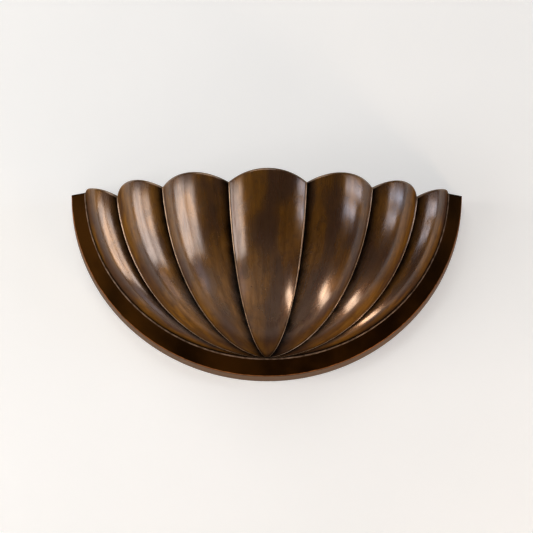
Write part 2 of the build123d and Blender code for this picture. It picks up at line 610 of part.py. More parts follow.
def lamp_wire(side, pole, lane):
    """One insulated wire, swept whole along its route."""
    corners = wire_route(side, pole, lane)
    radii = bend_radii(corners)
    path = FilletPolyline(*corners, radius=radii)
    wire = sweep(Plane(origin=path @ 0, z_dir=path % 0) * Circle(WIRE_RADIUS), path=path)
    expected = math.pi * WIRE_RADIUS ** 2 * path.length
    print("wire bends", [round(radius, 1) for radius in radii], "volume over length x section",
          round(wire.volume / expected, 4))
    return wire


# ---- Write every node ----
save("rim_frame", rim_frame())
for flute_name, flute_solid in flutes().items():
    save(flute_name, flute_solid)
save("wall_bracket", wall_bracket())
save("back_plate", back_plate())
save("back_plate_screws", *plate_screws())
save("lock_nut", lock_nut())
save("lock_screw", lock_screw())
save("bracket_rivets", *rivets())
save("terminal_block", terminal_block())
save("pole_screws", *pole_screws())
save("cable_grommet", cable_grommet())
save("earth_stud", earth_stud())
save("earth_nut", earth_nut())
save("earth_ring", earth_ring())
save("earth_wire", earth_wire())
for side_name, side_sign in SIDES.items():
    lamp_x = side_sign * LAMP_X
    save(f"lamp_bracket_{side_name}", lamp_bracket(side_sign))
    save(f"lampholder_{side_name}", lampholder(lamp_x))
    save(f"contact_shell_{side_name}", contact_shell(lamp_x))
    save(f"centre_contact_{side_name}", centre_contact(lamp_x))
    save(f"nipple_{side_name}", nipple(lamp_x))
    save(f"nipple_nut_{side_name}", nipple_nut(lamp_x))
    save(f"lamp_tip_{side_name}", lamp_tip(lamp_x))
    save(f"lamp_insulator_{side_name}", lamp_insulator(lamp_x))
    save(f"lamp_cap_{side_name}", lamp_cap(lamp_x))
    save(f"lamp_glass_{side_name}", lamp_glass(lamp_x))
    save(f"lamp_stem_{side_name}", lamp_stem(lamp_x))
    save(f"lamp_filaments_{side_name}", *lamp_filaments(lamp_x))
    save(f"lamp_wires_{side_name}", lamp_wire(side_sign, 2, 1), lamp_wire(side_sign, 1, -1))
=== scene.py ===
"""Shell wall sconce: a fluted half bowl of antiqued bronze on a dark rim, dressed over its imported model.

Metres, +Z up; the wall is the plane Y = 0 and the light stands out from it towards -Y. Shapes are worked
out in millimetres and turned to metres when their meshes are made.
"""

import logging
import math
from contextlib import contextmanager
from dataclasses import dataclass, field
from enum import Enum, auto
from typing import Dict, Iterator, Mapping, Sequence, Tuple, Union

import bmesh
import bpy
import numpy as np
from mathutils import Matrix, Vector

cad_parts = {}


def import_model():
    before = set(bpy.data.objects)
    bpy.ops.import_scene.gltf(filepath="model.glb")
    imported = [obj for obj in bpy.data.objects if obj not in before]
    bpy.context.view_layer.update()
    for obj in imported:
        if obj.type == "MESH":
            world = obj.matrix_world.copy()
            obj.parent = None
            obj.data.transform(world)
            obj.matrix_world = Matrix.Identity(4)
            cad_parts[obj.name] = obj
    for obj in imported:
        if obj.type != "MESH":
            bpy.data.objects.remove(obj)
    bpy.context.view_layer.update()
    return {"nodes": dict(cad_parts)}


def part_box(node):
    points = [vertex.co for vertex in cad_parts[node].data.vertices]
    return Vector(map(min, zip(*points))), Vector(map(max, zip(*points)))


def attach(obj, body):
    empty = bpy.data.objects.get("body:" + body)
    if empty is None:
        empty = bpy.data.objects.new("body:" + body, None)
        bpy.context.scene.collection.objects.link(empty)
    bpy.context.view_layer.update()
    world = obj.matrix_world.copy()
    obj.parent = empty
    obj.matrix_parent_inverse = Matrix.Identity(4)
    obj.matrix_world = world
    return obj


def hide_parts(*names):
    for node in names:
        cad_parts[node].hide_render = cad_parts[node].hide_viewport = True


MM = 0.001
# Points closer together than this, in millimetres, are one point.
MERGE_MM = 0.002
# Stands for "nowhere near it" where a point's distance in millimetres is written down.
FAR_MM = 100.0
# The least length that something is divided by.
LEAST_LENGTH = 1e-9
# The angle, in radians, at which a sheet stops short of the bowl's lowest point.
POLE_TURN = 0.0006
# Places across a soldered bead, in bead radii from the sheet's edge; its half circle ends at 2.
BEAD_PLACES = np.array([0.12, 0.4, 0.7, 1.0, 1.3, 1.6, 1.88, 2.0, 2.5])

log = logging.getLogger("sconce")
Array = np.ndarray
Piece = bpy.types.Object
Socket = bpy.types.NodeSocket
Tree = bpy.types.NodeTree
Inputs = Union[Mapping[Union[int, str], object], Sequence[object]]
Look = Dict[str, object]


class Side(Enum):
    """The two halves of the light."""

    LEFT = auto()
    RIGHT = auto()

    @property
    def word(self) -> str:
        """The side's name as nodes spell it."""
        return self.name.lower()


# ---------------------------------------------------------------- mesh helpers
def ring_quads(rings: int, points: int) -> Array:
    """Corner indices of the quads between neighbouring rings of a tube.

    Point p of ring r has the index r times the points of a ring, plus p, and the last point of each ring
    joins its first.

    Args:
        rings: Number of rings.
        points: Number of points in each ring.

    Returns:
        An array of four point indices for each quad.
    """
    ring, point = np.arange(rings - 1)[:, None], np.arange(points)[None, :]
    near, far, beside = ring * points, (ring + 1) * points, (point + 1) % points
    return np.stack([near + point, near + beside, far + beside, far + point], axis=-1).reshape(-1, 4)


def mesh_object(name: str, points: Array, quads: Array) -> Piece:
    """A linked, smoothly shaded object from whole arrays of points and quads.

    Args:
        name: The piece's name.
        points: Point places in millimetres, one row each.
        quads: Four point indices for each face.

    Returns:
        The new object, at the origin.
    """
    mesh = bpy.data.meshes.new(name)
    mesh.vertices.add(len(points))
    mesh.vertices.foreach_set("co", (np.asarray(points, dtype=np.float32) * MM).ravel())
    mesh.loops.add(quads.size)
    mesh.loops.foreach_set("vertex_index", quads.astype(np.int32).ravel())
    mesh.polygons.add(len(quads))
    mesh.polygons.foreach_set("loop_start", np.arange(0, quads.size, 4, dtype=np.int32))
    mesh.polygons.foreach_set("use_smooth", np.full(len(quads), True))
    mesh.update(calc_edges=True)
    mesh.validate()
    piece = bpy.data.objects.new(name, mesh)
    bpy.context.scene.collection.objects.link(piece)
    return piece


@contextmanager
def edited(piece: Piece) -> Iterator[bmesh.types.BMesh]:
    """Opens a piece's mesh for editing, and turns every face outward before it is put back.

    Args:
        piece: The piece to edit.

    Yields:
        The open mesh.
    """
    work = bmesh.new()
    work.from_mesh(piece.data)
    yield work
    bmesh.ops.recalc_face_normals(work, faces=work.faces)
    work.to_mesh(piece.data)
    work.free()
    piece.data.update()


def merge_doubles(piece: Piece) -> None:
    """Joins the piece's points that coincide, as at a pole."""
    with edited(piece) as work:
        bmesh.ops.remove_doubles(work, verts=work.verts, dist=MERGE_MM * MM)


def close_ends(piece: Piece) -> None:
    """Closes each open end of the piece's tubes with one flat face, shaded flat."""
    with edited(piece) as work:
        for face in bmesh.ops.holes_fill(work, edges=work.edges, sides=0)["faces"]:
            face.smooth = False


def point_values(piece: Piece, **values: Array) -> None:
    """Writes one number for each point, under each name, for the piece's material to read.

    Args:
        piece: The piece to write on.
        **values: The numbers, by the name of their attribute.
    """
    for name, numbers in values.items():
        layer = piece.data.attributes.new(name, "FLOAT", "POINT")
        layer.data.foreach_set("value", np.asarray(numbers, dtype=np.float32).ravel())


def point_map(piece: Piece, across: Array, along: Array) -> None:
    """Gives the piece a UV map, named surface, from one pair of lengths for each point.

    Args:
        piece: The piece to map.
        across: U of each point, in metres.
        along: V of each point, in metres.
    """
    corner = np.empty(len(piece.data.loops), dtype=np.int32)
    piece.data.loops.foreach_get("vertex_index", corner)
    pairs = np.stack([across.ravel()[corner], along.ravel()[corner]], axis=1).astype(np.float32)
    piece.data.uv_layers.new(name="surface").data.foreach_set("uv", pairs.ravel())


def turned_solid(name: str, radii: Array, heights: Array, centre: Tuple[float, float],
                 steps: int = 96) -> Piece:
    """A closed solid turned about an upright axis.

    Each point is the profile's radius times the cosine and sine of the turn, at the profile's height. The
    profile is a loop that starts and ends on the axis, or that closes on itself.

    Args:
        name: The piece's name.
        radii: The profile's radii in millimetres.
        heights: The profile's heights in millimetres.
        centre: X and Y of the axis in millimetres.
        steps: Points round the turn.

    Returns:
        The new object.
    """
    turn = np.linspace(0.0, 2 * np.pi, steps, endpoint=False)[None, :]
    radius, height = np.asarray(radii)[:, None], np.asarray(heights)[:, None]
    points = np.stack([centre[0] + radius * np.cos(turn), centre[1] + radius * np.sin(turn),
                       np.broadcast_to(height, (len(radii), steps))], axis=-1)
    piece = mesh_object(name, points.reshape(-1, 3), ring_quads(len(radii), steps))
    merge_doubles(piece)
    return piece


def eased_corner(before: Array, corner: Array, after: Array, radius: float, points: int = 6) -> Array:
    """A corner eased by a quadratic curve that starts and ends one radius away from it.

    Each point is the first end times (1 - t) squared, plus the corner times 2 t (1 - t), plus the last end
    times t squared.

    Args:
        before: A point on the way to the corner.
        corner: The sharp corner.
        after: A point on the way from the corner.
        radius: How far from the corner the curve starts and ends.
        points: Number of points on the curve.

    Returns:
        The curve's points, one row each.
    """
    first = corner + (before - corner) / np.linalg.norm(before - corner) * radius
    last = corner + (after - corner) / np.linalg.norm(after - corner) * radius
    t = np.linspace(0, 1, points)[:, None]
    return (1 - t) ** 2 * first + 2 * t * (1 - t) * corner + t ** 2 * last


# ---------------------------------------------------------------- material helpers
SMOOTH = {"interpolation_type": "SMOOTHSTEP"}
COLOURS = {"data_type": "RGBA"}
# The colour mix's sockets by number: how much of the upper colour, the lower and the upper, and the result.
SHARE, LOWER, UPPER, MIXED = 0, 6, 7, 2
# Nearly all values of a noise texture lie between these two.
NOISE = (0.3, 0.7)
# The four constants of the sRGB curve: where its straight part ends, its slope, its offset and its power.
SRGB_KNEE, SRGB_SLOPE, SRGB_OFFSET, SRGB_POWER = 0.04045, 12.92, 0.055, 2.4


def linear(hex_colour: str) -> Tuple[float, float, float, float]:
    """The linear colour of an sRGB hex value.

    Args:
        hex_colour: The colour, such as '#8a5a2a'.

    Returns:
        Linear red, green and blue, and an alpha of 1.
    """
    parts = np.array([int(hex_colour[i:i + 2], 16) for i in (1, 3, 5)]) / 255.0
    bent = ((parts + SRGB_OFFSET) / (1 + SRGB_OFFSET)) ** SRGB_POWER
    red, green, blue = np.where(parts <= SRGB_KNEE, parts / SRGB_SLOPE, bent).tolist()
    return (red, green, blue, 1.0)


def per_metre(size_mm: float) -> float:
    """How many features of a size in millimetres fit in a metre, as texture scales ask."""
    return 1.0 / (size_mm * MM)


def new_material(name: str) -> Tuple[bpy.types.Material, Tree]:
    """A material with an empty node tree.

    Args:
        name: The material's name.

    Returns:
        The material and its tree.
    """
    material = bpy.data.materials.new(name)
    material.use_nodes = True
    material.node_tree.nodes.clear()
    return material, material.node_tree


def add_node(tree: Tree, kind: str, inputs: Inputs = (), output: Union[int, str] = 0,
             **settings: object) -> Socket:
    """Adds one node with its settings, values and links.

    Args:
        tree: The node tree.
        kind: The node's type, without its "ShaderNode" beginning.
        inputs: Values or other nodes' outputs, by socket name or number, or in order.
        output: The output wanted.
        **settings: Properties of the node.

    Returns:
        That output's socket, or None for a node without outputs.
    """
    node = tree.nodes.new("ShaderNode" + kind)
    for name, value in settings.items():
        setattr(node, name, value)
    for socket, value in (inputs.items() if isinstance(inputs, Mapping) else enumerate(inputs)):
        if isinstance(value, Socket):
            tree.links.new(value, node.inputs[socket])
        else:
            node.inputs[socket].default_value = value
    return node.outputs[output] if node.outputs else None


def two_tone(tree: Tree, share: Socket, colours: Tuple[str, str], height: Socket, depth_mm: float) -> Look:
    """What most plain finishes share: two colours mixed, and a bump.

    Args:
        tree: The material's node tree.
        share: How much of the second colour shows.
        colours: The first and second colours, as sRGB hex values.
        height: The bump's pattern.
        depth_mm: The bump's depth in millimetres.

    Returns:
        The shader's colour and normal inputs.
    """
    first, second = map(linear, colours)
    mixed = add_node(tree, "Mix", {SHARE: share, LOWER: first, UPPER: second}, MIXED, **COLOURS)
    return {"Base Color": mixed,
            "Normal": add_node(tree, "Bump", {"Height": height, "Distance": depth_mm * MM})}


# ---------------------------------------------------------------- finishes
@dataclass(frozen=True)
class Finish:
    """What every finish shares: a name, and a shader fed by the finish's own patterns."""

    name: str

    def build(self) -> bpy.types.Material:
        """Makes the material once and gives it again after that.

        Returns:
            The material.
        """
        found = bpy.data.materials.get(self.name)
        if found:
            return found
        material, tree = new_material(self.name)
        add_node(tree, "OutputMaterial", {"Surface": add_node(tree, "BsdfPrincipled", self.look(tree))})
        return material

    def look(self, tree: Tree) -> Look:
        """The shader's inputs, made in the tree; each finish has its own."""
        raise NotImplementedError


@dataclass(frozen=True)
class AntiqueBronze(Finish):
    """Formed bronze sheet, darkened with liver of sulphur, rubbed back and waxed.

    The joints are near black, partly from patina left in them and partly as painted shade where one flute
    lies over the next, and darker towards the foot. The crests come back to golden brown in soft streaks
    along each flute, each bead carries a pale line of worn metal with a painted highlight, and the oxide
    with its wax gives paler, broader reflections than bare metal. The rag's strokes, the clouds and the
    dents have their real sizes. The abrasive's scratches are under 0.1 mm wide, too fine to show, so they
    are drawn as a grain of 1.2 mm.
    """

    # Near black of the joints: partly patina, partly painted shade beside the overlapping edge.
    hollow: str = "#050302"
    patina: str = "#3d2711"
    brown: str = "#483123"
    rubbed: str = "#8b5d1e"
    # Pale line on beads and top edges: worn metal, with a painted highlight on the beads.
    worn_and_highlit_edge: str = "#dcb898"
    inside: str = "#8a6a42"
    coat_ior: float = 1.7
    hollow_mm: float = 12.0
    wander_mm: float = 1.5
    foot_mm: float = 90.0
    streak_mm: float = 5.0
    streak_length_mm: float = 45.0
    mottle_mm: float = 9.0
    cloud_mm: float = 24.0
    cloud_length_mm: float = 60.0
    dent_mm: float = 20.0
    dent_depth_mm: float = 0.30
    ding_mm: float = 36.0
    ding_depth_mm: float = 0.15
    grain_mm: float = 1.2
    grain_depth_mm: float = 0.012

    def look(self, tree: Tree) -> Look:
        """Colour from the distance to the joint, clouds and strokes; gloss that dulls in the joints.

        Args:
            tree: The material's node tree.

        Returns:
            The shader's inputs.
        """
        place = add_node(tree, "TexCoord", (), "Object")
        surface = add_node(tree, "UVMap", uv_map="surface")
        shade, bead, top, front, inside = (
            add_node(tree, "Attribute", (), "Fac", attribute_name=name)
            for name in ("shade_mm", "bead", "top_mm", "front", "inside"))
        stroked, drawn = (
            add_node(tree, "Mapping", {"Vector": surface, "Scale": (1.0, size / length, 1.0)})
            for size, length in ((self.streak_mm, self.streak_length_mm),
                                 (self.cloud_mm, self.cloud_length_mm)))
        streaks, mottle, clouds, dents, grain = (
            add_node(tree, "TexNoise", {"Vector": way, "Scale": per_metre(size), "Detail": detail,
                                        "Roughness": rough})
            for way, size, detail, rough in (
                (stroked, self.streak_mm, 4.0, 0.6), (place, self.mottle_mm, 5.0, 0.6),
                (drawn, self.cloud_mm, 2.0, 0.5), (drawn, self.dent_mm, 4.0, 0.45),
                (place, self.grain_mm, 2.0, 0.5)))
        dings = add_node(tree, "TexVoronoi", {"Vector": place, "Scale": per_metre(self.ding_mm)}, "Distance")
        from_foot = add_node(tree, "SeparateXYZ", (surface,), "Y")
        wander = add_node(tree, "MapRange", (mottle, *NOISE, -self.wander_mm, self.wander_mm))
        depth = add_node(tree, "Math", (shade, wander), operation="ADD")
        # Each part: what it reads, from which value to which, and what these become, 0 to 1 if not said.
        spans = {
            "patina": (clouds, 0.38, 0.62),
            "rubbing": (clouds, 0.36, 0.66, 0.05, 0.8),
            "strokes": (streaks, 0.3, 0.68, 0.45, 1.0),
            "cover": (mottle, 0.48, 0.7, 0.0, 0.4),
            # Painted shade: how far the joints' near black reaches, partly patina and partly the overlap's
            # shade, further towards the foot.
            "open": (depth, 0.5, self.hollow_mm),
            "foot": (from_foot, 0.0, self.foot_mm * MM, 0.5, 1.0),
            "top_wear": (top, 2.0, 0.6, 0.0, 0.18),
            "uneven_wear": (mottle, 0.3, 0.6, 0.5, 1.0),
            "satin": (streaks, *NOISE, 0.3, 0.22),
            "dull_joint": (depth, 0.0, 4.0, 0.25, 0.0),
            "dull_side": (front, 0.25, 0.7, 0.25, 0.0),
            "wax": (depth, 0.5, self.hollow_mm, 0.1, 1.0),
            "wax_strokes": (streaks, *NOISE, 0.72, 1.0),
            "wax_front": (front, 0.42, 0.76, 0.04, 1.0),
            "polish": (mottle, 0.35, 0.65, 0.15, 0.21),
            "bare": (front, 0.4, 0.8, 0.1, 0.5),
            "dings": (dings, 0.03, 0.12, -1.0, 0.0)}
        part = {name: add_node(tree, "MapRange", span, **SMOOTH) for name, span in spans.items()}
        # The bead's pale line is worn metal with a painted highlight; the top edge's line is worn metal.
        part["wear_and_highlight"] = bead
        for name, operation, other in (
                ("rubbing", "MULTIPLY", "strokes"), ("open", "MULTIPLY", "foot"),
                ("wear_and_highlight", "MAXIMUM", "top_wear"), ("wear_and_highlight", "MULTIPLY", "uneven_wear"),
                ("satin", "ADD", "dull_joint"), ("satin", "ADD", "dull_side"),
                ("wax", "MULTIPLY", "wax_strokes"), ("wax", "MULTIPLY", "wax_front")):
            part[name] = add_node(tree, "Math", (part[name], part[other]), operation=operation)
        # Each layer: its share, and the colours below and above, where None is the colour so far.
        colour = None
        for share, below, above in (
                (part["patina"], self.brown, self.patina), (part["rubbing"], None, self.rubbed),
                (part["cover"], None, self.patina), (part["open"], self.hollow, None),
                (part["wear_and_highlight"], None, self.worn_and_highlit_edge), (inside, None, self.inside)):
            colour = add_node(tree, "Mix", {SHARE: share, LOWER: linear(below) if below else colour,
                                            UPPER: linear(above) if above else colour}, MIXED, **COLOURS)
        height = dents
        for bumps, depth_mm in ((grain, self.grain_depth_mm), (part["dings"], self.ding_depth_mm)):
            height = add_node(tree, "Math", (bumps, depth_mm / self.dent_depth_mm, height),
                              operation="MULTIPLY_ADD")
        # The oxide has no shine of its own: what shines is the metal rubbed bare and the wax over it.
        return {"Base Color": colour, "Metallic": part["bare"], "Roughness": part["satin"],
                "Specular IOR Level": 0.0, "Coat Weight": part["wax"], "Coat Roughness": part["polish"],
                "Coat IOR": self.coat_ior,
                "Normal": add_node(tree, "Bump", {"Height": height, "Distance": self.dent_depth_mm * MM})}


@dataclass(frozen=True)
class RimBronze(Finish):
    """The same bronze left almost fully dark, rubbed bright only along its front arris, with a painted
    highlight along the bead at the band's inner edge and a painted reflection of the wall on its return.

    It reads as a near-black satin band. Its grain is drawn coarser than it is, as on the flutes.
    """

    dark: str = "#190d03"
    brown: str = "#361f07"
    arris: str = "#9a6238"
    # Painted highlight along the bead at the band's inner edge.
    seam: str = "#a48b78"
    # Painted reflection of the pale wall on the return.
    return_wall_reflection: str = "#745c48"
    cloud_mm: float = 70.0
    fleck_mm: float = 6.5
    wander_mm: float = 0.3
    grain_mm: float = 1.3
    grain_depth_mm: float = 0.012
    bare: float = 0.4

    def look(self, tree: Tree) -> Look:
        """Dark clouds, with the rubbed arris, a painted highlight along the inner bead and a painted
        reflection on the return picked out by the piece's own values.

        Args:
            tree: The material's node tree.

        Returns:
            The shader's inputs.
        """
        place = add_node(tree, "TexCoord", (), "Object")
        edge, back, bead = (add_node(tree, "Attribute", (), "Fac", attribute_name=name)
                            for name in ("arris_mm", "on_return", "bead"))
        clouds, flecks, grain = (
            add_node(tree, "TexNoise", {"Vector": place, "Scale": per_metre(size), "Detail": detail})
            for size, detail in ((self.cloud_mm, 4.0), (self.fleck_mm, 4.0), (self.grain_mm, 3.0)))
        wander = add_node(tree, "MapRange", (flecks, *NOISE, -self.wander_mm, self.wander_mm))
        worn = add_node(tree, "Math", (edge, wander), operation="ADD")
        brown, arris, broken, satin = (
            add_node(tree, "MapRange", span, **SMOOTH)
            for span in ((clouds, 0.35, 0.65), (worn, 1.0, 0.3), (flecks, *NOISE, 0.2, 0.8),
                         (clouds, *NOISE, 0.46, 0.56)))
        # Painted highlight: a broken pale line along the bead.
        line = add_node(tree, "Math", (bead, broken), operation="MULTIPLY")
        # The return's paler grey-brown is a painted reflection of the wall.
        colour = linear(self.dark)
        for share, tint in ((brown, self.brown), (back, self.return_wall_reflection), (arris, self.arris),
                            (line, self.seam)):
            colour = add_node(tree, "Mix", {SHARE: share, LOWER: colour, UPPER: linear(tint)}, MIXED,
                              **COLOURS)
        # As on the flutes, the oxide has no shine of its own, and here no wax lies over it.
        return {"Base Color": colour, "Metallic": self.bare, "Roughness": satin, "Specular IOR Level": 0.0,
                "Normal": add_node(tree, "Bump", {"Height": grain, "Distance": self.grain_depth_mm * MM})}


@dataclass(frozen=True)
class PlainMetal(Finish):
    """Turned, rolled or plated metal: faint tool lines, a little tarnish and uneven gloss.

    Real tool lines are about 0.05 mm apart, too fine to show, so they are drawn 0.35 mm apart.
    """

    colour: str
    tarnish: str
    roughness: float
    cloud_mm: float
    line_mm: float = 0.35
    line_stretch: float = 25.0
    line_depth_mm: float = 0.01
    dulling: float = 0.12

    def look(self, tree: Tree) -> Look:
        """Tarnish clouds, and tool lines that run round the piece at each height.

        Args:
            tree: The material's node tree.

        Returns:
            The shader's inputs.
        """
        place = add_node(tree, "TexCoord", (), "Object")
        clouds = add_node(tree, "TexNoise", {"Vector": place, "Scale": per_metre(self.cloud_mm),
                                             "Detail": 4.0, "Roughness": 0.6})
        stretch = add_node(tree, "Mapping", {"Vector": place, "Scale": (
            1.0 / self.line_stretch, 1.0 / self.line_stretch, 1.0)})
        lines = add_node(tree, "TexNoise", {"Vector": stretch, "Scale": per_metre(self.line_mm),
                                            "Detail": 2.0})
        share = add_node(tree, "MapRange", (clouds, 0.4, 0.7), **SMOOTH)
        gloss = add_node(tree, "MapRange", (clouds, *NOISE, self.roughness, self.roughness + self.dulling))
        return {**two_tone(tree, share, (self.colour, self.tarnish), lines, self.line_depth_mm),
                "Roughness": gloss, "Metallic": 1.0}


@dataclass(frozen=True)
class Moulded(Finish):
    """Moulded, dipped or sprayed non-metal: a fine skin texture and slight unevenness of colour.

    A real skin's pits are 0.1 to 0.3 mm wide, too fine to show, so they are drawn a few times as wide.
    """

    colour: str
    shade_colour: str
    roughness: float
    skin_mm: float
    skin_depth_mm: float
    cloud_mm: float
    dulling: float = 0.1

    def look(self, tree: Tree) -> Look:
        """Slow colour drift and a fine pitted skin.

        Args:
            tree: The material's node tree.

        Returns:
            The shader's inputs.
        """
        place = add_node(tree, "TexCoord", (), "Object")
        clouds, skin = (
            add_node(tree, "TexNoise", {"Vector": place, "Scale": per_metre(size), "Detail": detail})
            for size, detail in ((self.cloud_mm, 4.0), (self.skin_mm, 3.0)))
        share = add_node(tree, "MapRange", (clouds, 0.35, 0.7), **SMOOTH)
        gloss = add_node(tree, "MapRange", (clouds, *NOISE, self.roughness, self.roughness + self.dulling))
        return {**two_tone(tree, share, (self.colour, self.shade_colour), skin, self.skin_depth_mm),
                "Roughness": gloss}


@dataclass(frozen=True)
class BlownGlass(Finish):
    """Clear glass, blown or drawn: slow waves in its skin and a trace of haze bend what shows through."""

    tint: str
    wave_mm: float
    wave_depth_mm: float
    haze: float
    clear: str = "#fbfcfb"

    def look(self, tree: Tree) -> Look:
        """Full transmission through a waved surface; its haze varies over it.

        Args:
            tree: The material's node tree.

        Returns:
            The shader's inputs.
        """
        place = add_node(tree, "TexCoord", (), "Object")
        waves = add_node(tree, "TexNoise", {"Vector": place, "Scale": per_metre(self.wave_mm),
                                            "Detail": 2.0})
        share = add_node(tree, "MapRange", (waves, *NOISE), **SMOOTH)
        return {**two_tone(tree, share, (self.tint, self.clear), waves, self.wave_depth_mm),
                "Roughness": add_node(tree, "MapRange", (waves, 0.4, 0.7, self.haze * 0.4, self.haze)),
                "Transmission Weight": 1.0, "IOR": 1.5}


@dataclass(frozen=True)
class StripedSleeve(Finish):
    """Extruded insulation of an earth wire: green on one side and yellow on the other, with a low sheen."""

    green: str = "#2f7a35"
    yellow: str = "#d8c531"
    roughness: float = 0.42
    edge_mm: float = 0.15
    wander_mm: float = 0.1
    ripple_mm: float = 1.5
    ripple_depth_mm: float = 0.01

    def look(self, tree: Tree) -> Look:
        """The yellow is one side of the upright wire, with a slightly uneven edge.

        Args:
            tree: The material's node tree.

        Returns:
            The shader's inputs.
        """
        place = add_node(tree, "TexCoord", (), "Object")
        ripple = add_node(tree, "TexNoise", {"Vector": place, "Scale": per_metre(self.ripple_mm),
                                             "Detail": 2.0})
        drift = add_node(tree, "MapRange", (ripple, *NOISE, -self.wander_mm * MM, self.wander_mm * MM))
        across = add_node(tree, "Math", (add_node(tree, "SeparateXYZ", (place,), "X"), drift),
                          operation="ADD")
        half = self.edge_mm * MM / 2
        side = add_node(tree, "MapRange", (across, -half, half), **SMOOTH)
        return {**two_tone(tree, side, (self.green, self.yellow), ripple, self.ripple_depth_mm),
                "Roughness": self.roughness}


@dataclass(frozen=True)
class BraidedSleeve(Finish):
    """Heat-proof braided sleeving over a lamp wire: pale and matt, with a fine diagonal weave.

    The yarn is about 0.25 mm wide, too fine to show, so it is drawn 0.5 mm wide. A diagonal wave of scale
    1 makes 3.2 threads in each unit along the wire, one where it rises and one where it falls.
    """

    thread: str = "#dcd8cd"
    gap: str = "#a39d8f"
    roughness: float = 0.75
    thread_mm: float = 0.5
    threads_per_unit: float = 3.2
    thread_depth_mm: float = 0.06

    def look(self, tree: Tree) -> Look:
        """Two crossed waves at the threads' spacing, multiplied, give the weave.

        Args:
            tree: The material's node tree.

        Returns:
            The shader's inputs.
        """
        place = add_node(tree, "TexCoord", (), "Object")
        turned = add_node(tree, "Mapping", {"Vector": place, "Scale": (1.0, 1.0, -1.0)})
        first, second = (
            add_node(tree, "TexWave", {"Vector": way, "Distortion": 0.5,
                                       "Scale": per_metre(self.thread_mm * self.threads_per_unit)},
                     "Fac", bands_direction="DIAGONAL") for way in (place, turned))
        weave = add_node(tree, "Math", (first, second), operation="MULTIPLY")
        share = add_node(tree, "MapRange", (weave, 0.05, 0.5), **SMOOTH)
        return {**two_tone(tree, share, (self.gap, self.thread), weave, self.thread_depth_mm),
                "Roughness": self.roughness}


# The numbers in order, with sizes in millimetres. A plain metal: roughness and cloud size. A moulded piece:
# roughness, skin size, skin depth and cloud size. A glass: wave size, wave depth and haze.

# Bronze sheet, rubbed and waxed: black valleys of patina and painted shade, golden crests, beads with a
# painted highlight, and soft waxy reflections.
BRONZE = AntiqueBronze("antique_bronze_rubbed")
# The same bronze left dark: a satin band with one thin rubbed bright edge, a painted highlight along its
# inner bead and a painted reflection on its return.
RIM_BRONZE = RimBronze("antique_bronze_dark")
# Steel sprayed with powder and baked: an even brown satin with a fine orange-peel skin.
POWDER_COAT = Moulded("powder_coat_brown", "#3a3029", "#2e261f", 0.5, 0.7, 0.05, 25.0)
# Pressed steel, zinc plated: cool pale grey, faintly clouded.
ZINC = PlainMetal("zinc_plate", "#b6babf", "#a4a8ac", 0.35, 9.0)
# Brass turned on a lathe: warm yellow with fine rings, browned in patches.
TURNED_BRASS = PlainMetal("turned_brass", "#c79b57", "#94703a", 0.28, 5.0)
# Aluminium rolled to a thread: light grey, with bright crests.
CAP_METAL = PlainMetal("rolled_aluminium_cap", "#c9c8c4", "#9c9a94", 0.3, 4.0)
# Copper dipped in tin: soft warm grey with small dull clouds.
TINNED = PlainMetal("tinned_copper", "#b8b6b0", "#8f8d88", 0.36, 3.0)
# Phenolic resin, hot moulded: near black, hard and fairly glossy.
PHENOLIC = Moulded("phenolic_black", "#191715", "#110f0e", 0.32, 1.2, 0.02, 8.0)
# Polyamide, injection moulded: off-white with a soft sheen.
OFF_WHITE = Moulded("polyamide_off_white", "#d9d6cc", "#c8c4b8", 0.42, 0.8, 0.02, 10.0)
# Rubber, press moulded: black and matt.
RUBBER = Moulded("rubber_black", "#161515", "#201e1d", 0.7, 0.6, 0.05, 6.0)
# Black glass, fused into the cap: dark, smooth and the glossiest of the small pieces.
VITREOUS = Moulded("vitreous_insulator", "#141316", "#242027", 0.12, 1.5, 0.02, 3.0)
# Silicone filled with phosphor, dipped: opaque warm yellow, matt and slightly lumpy.
PHOSPHOR = Moulded("phosphor_yellow", "#e0b441", "#d09f2f", 0.6, 0.4, 0.04, 2.0)
# Soda glass, blown: clear, with slow waves.
BULB_GLASS = BlownGlass("blown_glass", "#f4f7f5", 14.0, 0.05, 0.03)
# Glass rod, drawn and pinched: clear, greener and less even.
STEM_GLASS = BlownGlass("drawn_glass", "#eef2ef", 6.0, 0.04, 0.05)
# Extruded plastic in two colours: the earth wire's green and yellow.
EARTH_SLEEVE = StripedSleeve("earth_wire_sleeve")
# Glass yarn, braided: pale, matt and finely woven.
WIRE_SLEEVE = BraidedSleeve("glass_braid_sleeve")


# ---------------------------------------------------------------- bowl
@dataclass(frozen=True)
class Rib:
    """One upright joint of the bowl at its top: X, reach in front of the band, drop below the rim's top."""

    x: float
    reach: float
    drop: float


@dataclass(frozen=True)
class BowlShape:
    """The sizes, in millimetres, that the bowl and the rim share."""

    rim_top: float
    centre_rise: float = 8.0
    band_depth: float = 26.0
    band_half_width: float = 183.0
    band_drop: float = 170.0
    wall: float = 2.4

    @property
    def centre(self) -> float:
        """Height of the centre of every upright ellipse."""
        return self.rim_top + self.centre_rise


class Joint(Enum):
    """How a flute meets its neighbour along one edge."""

    BEADED = "beaded"
    TUCKED = "tucked"


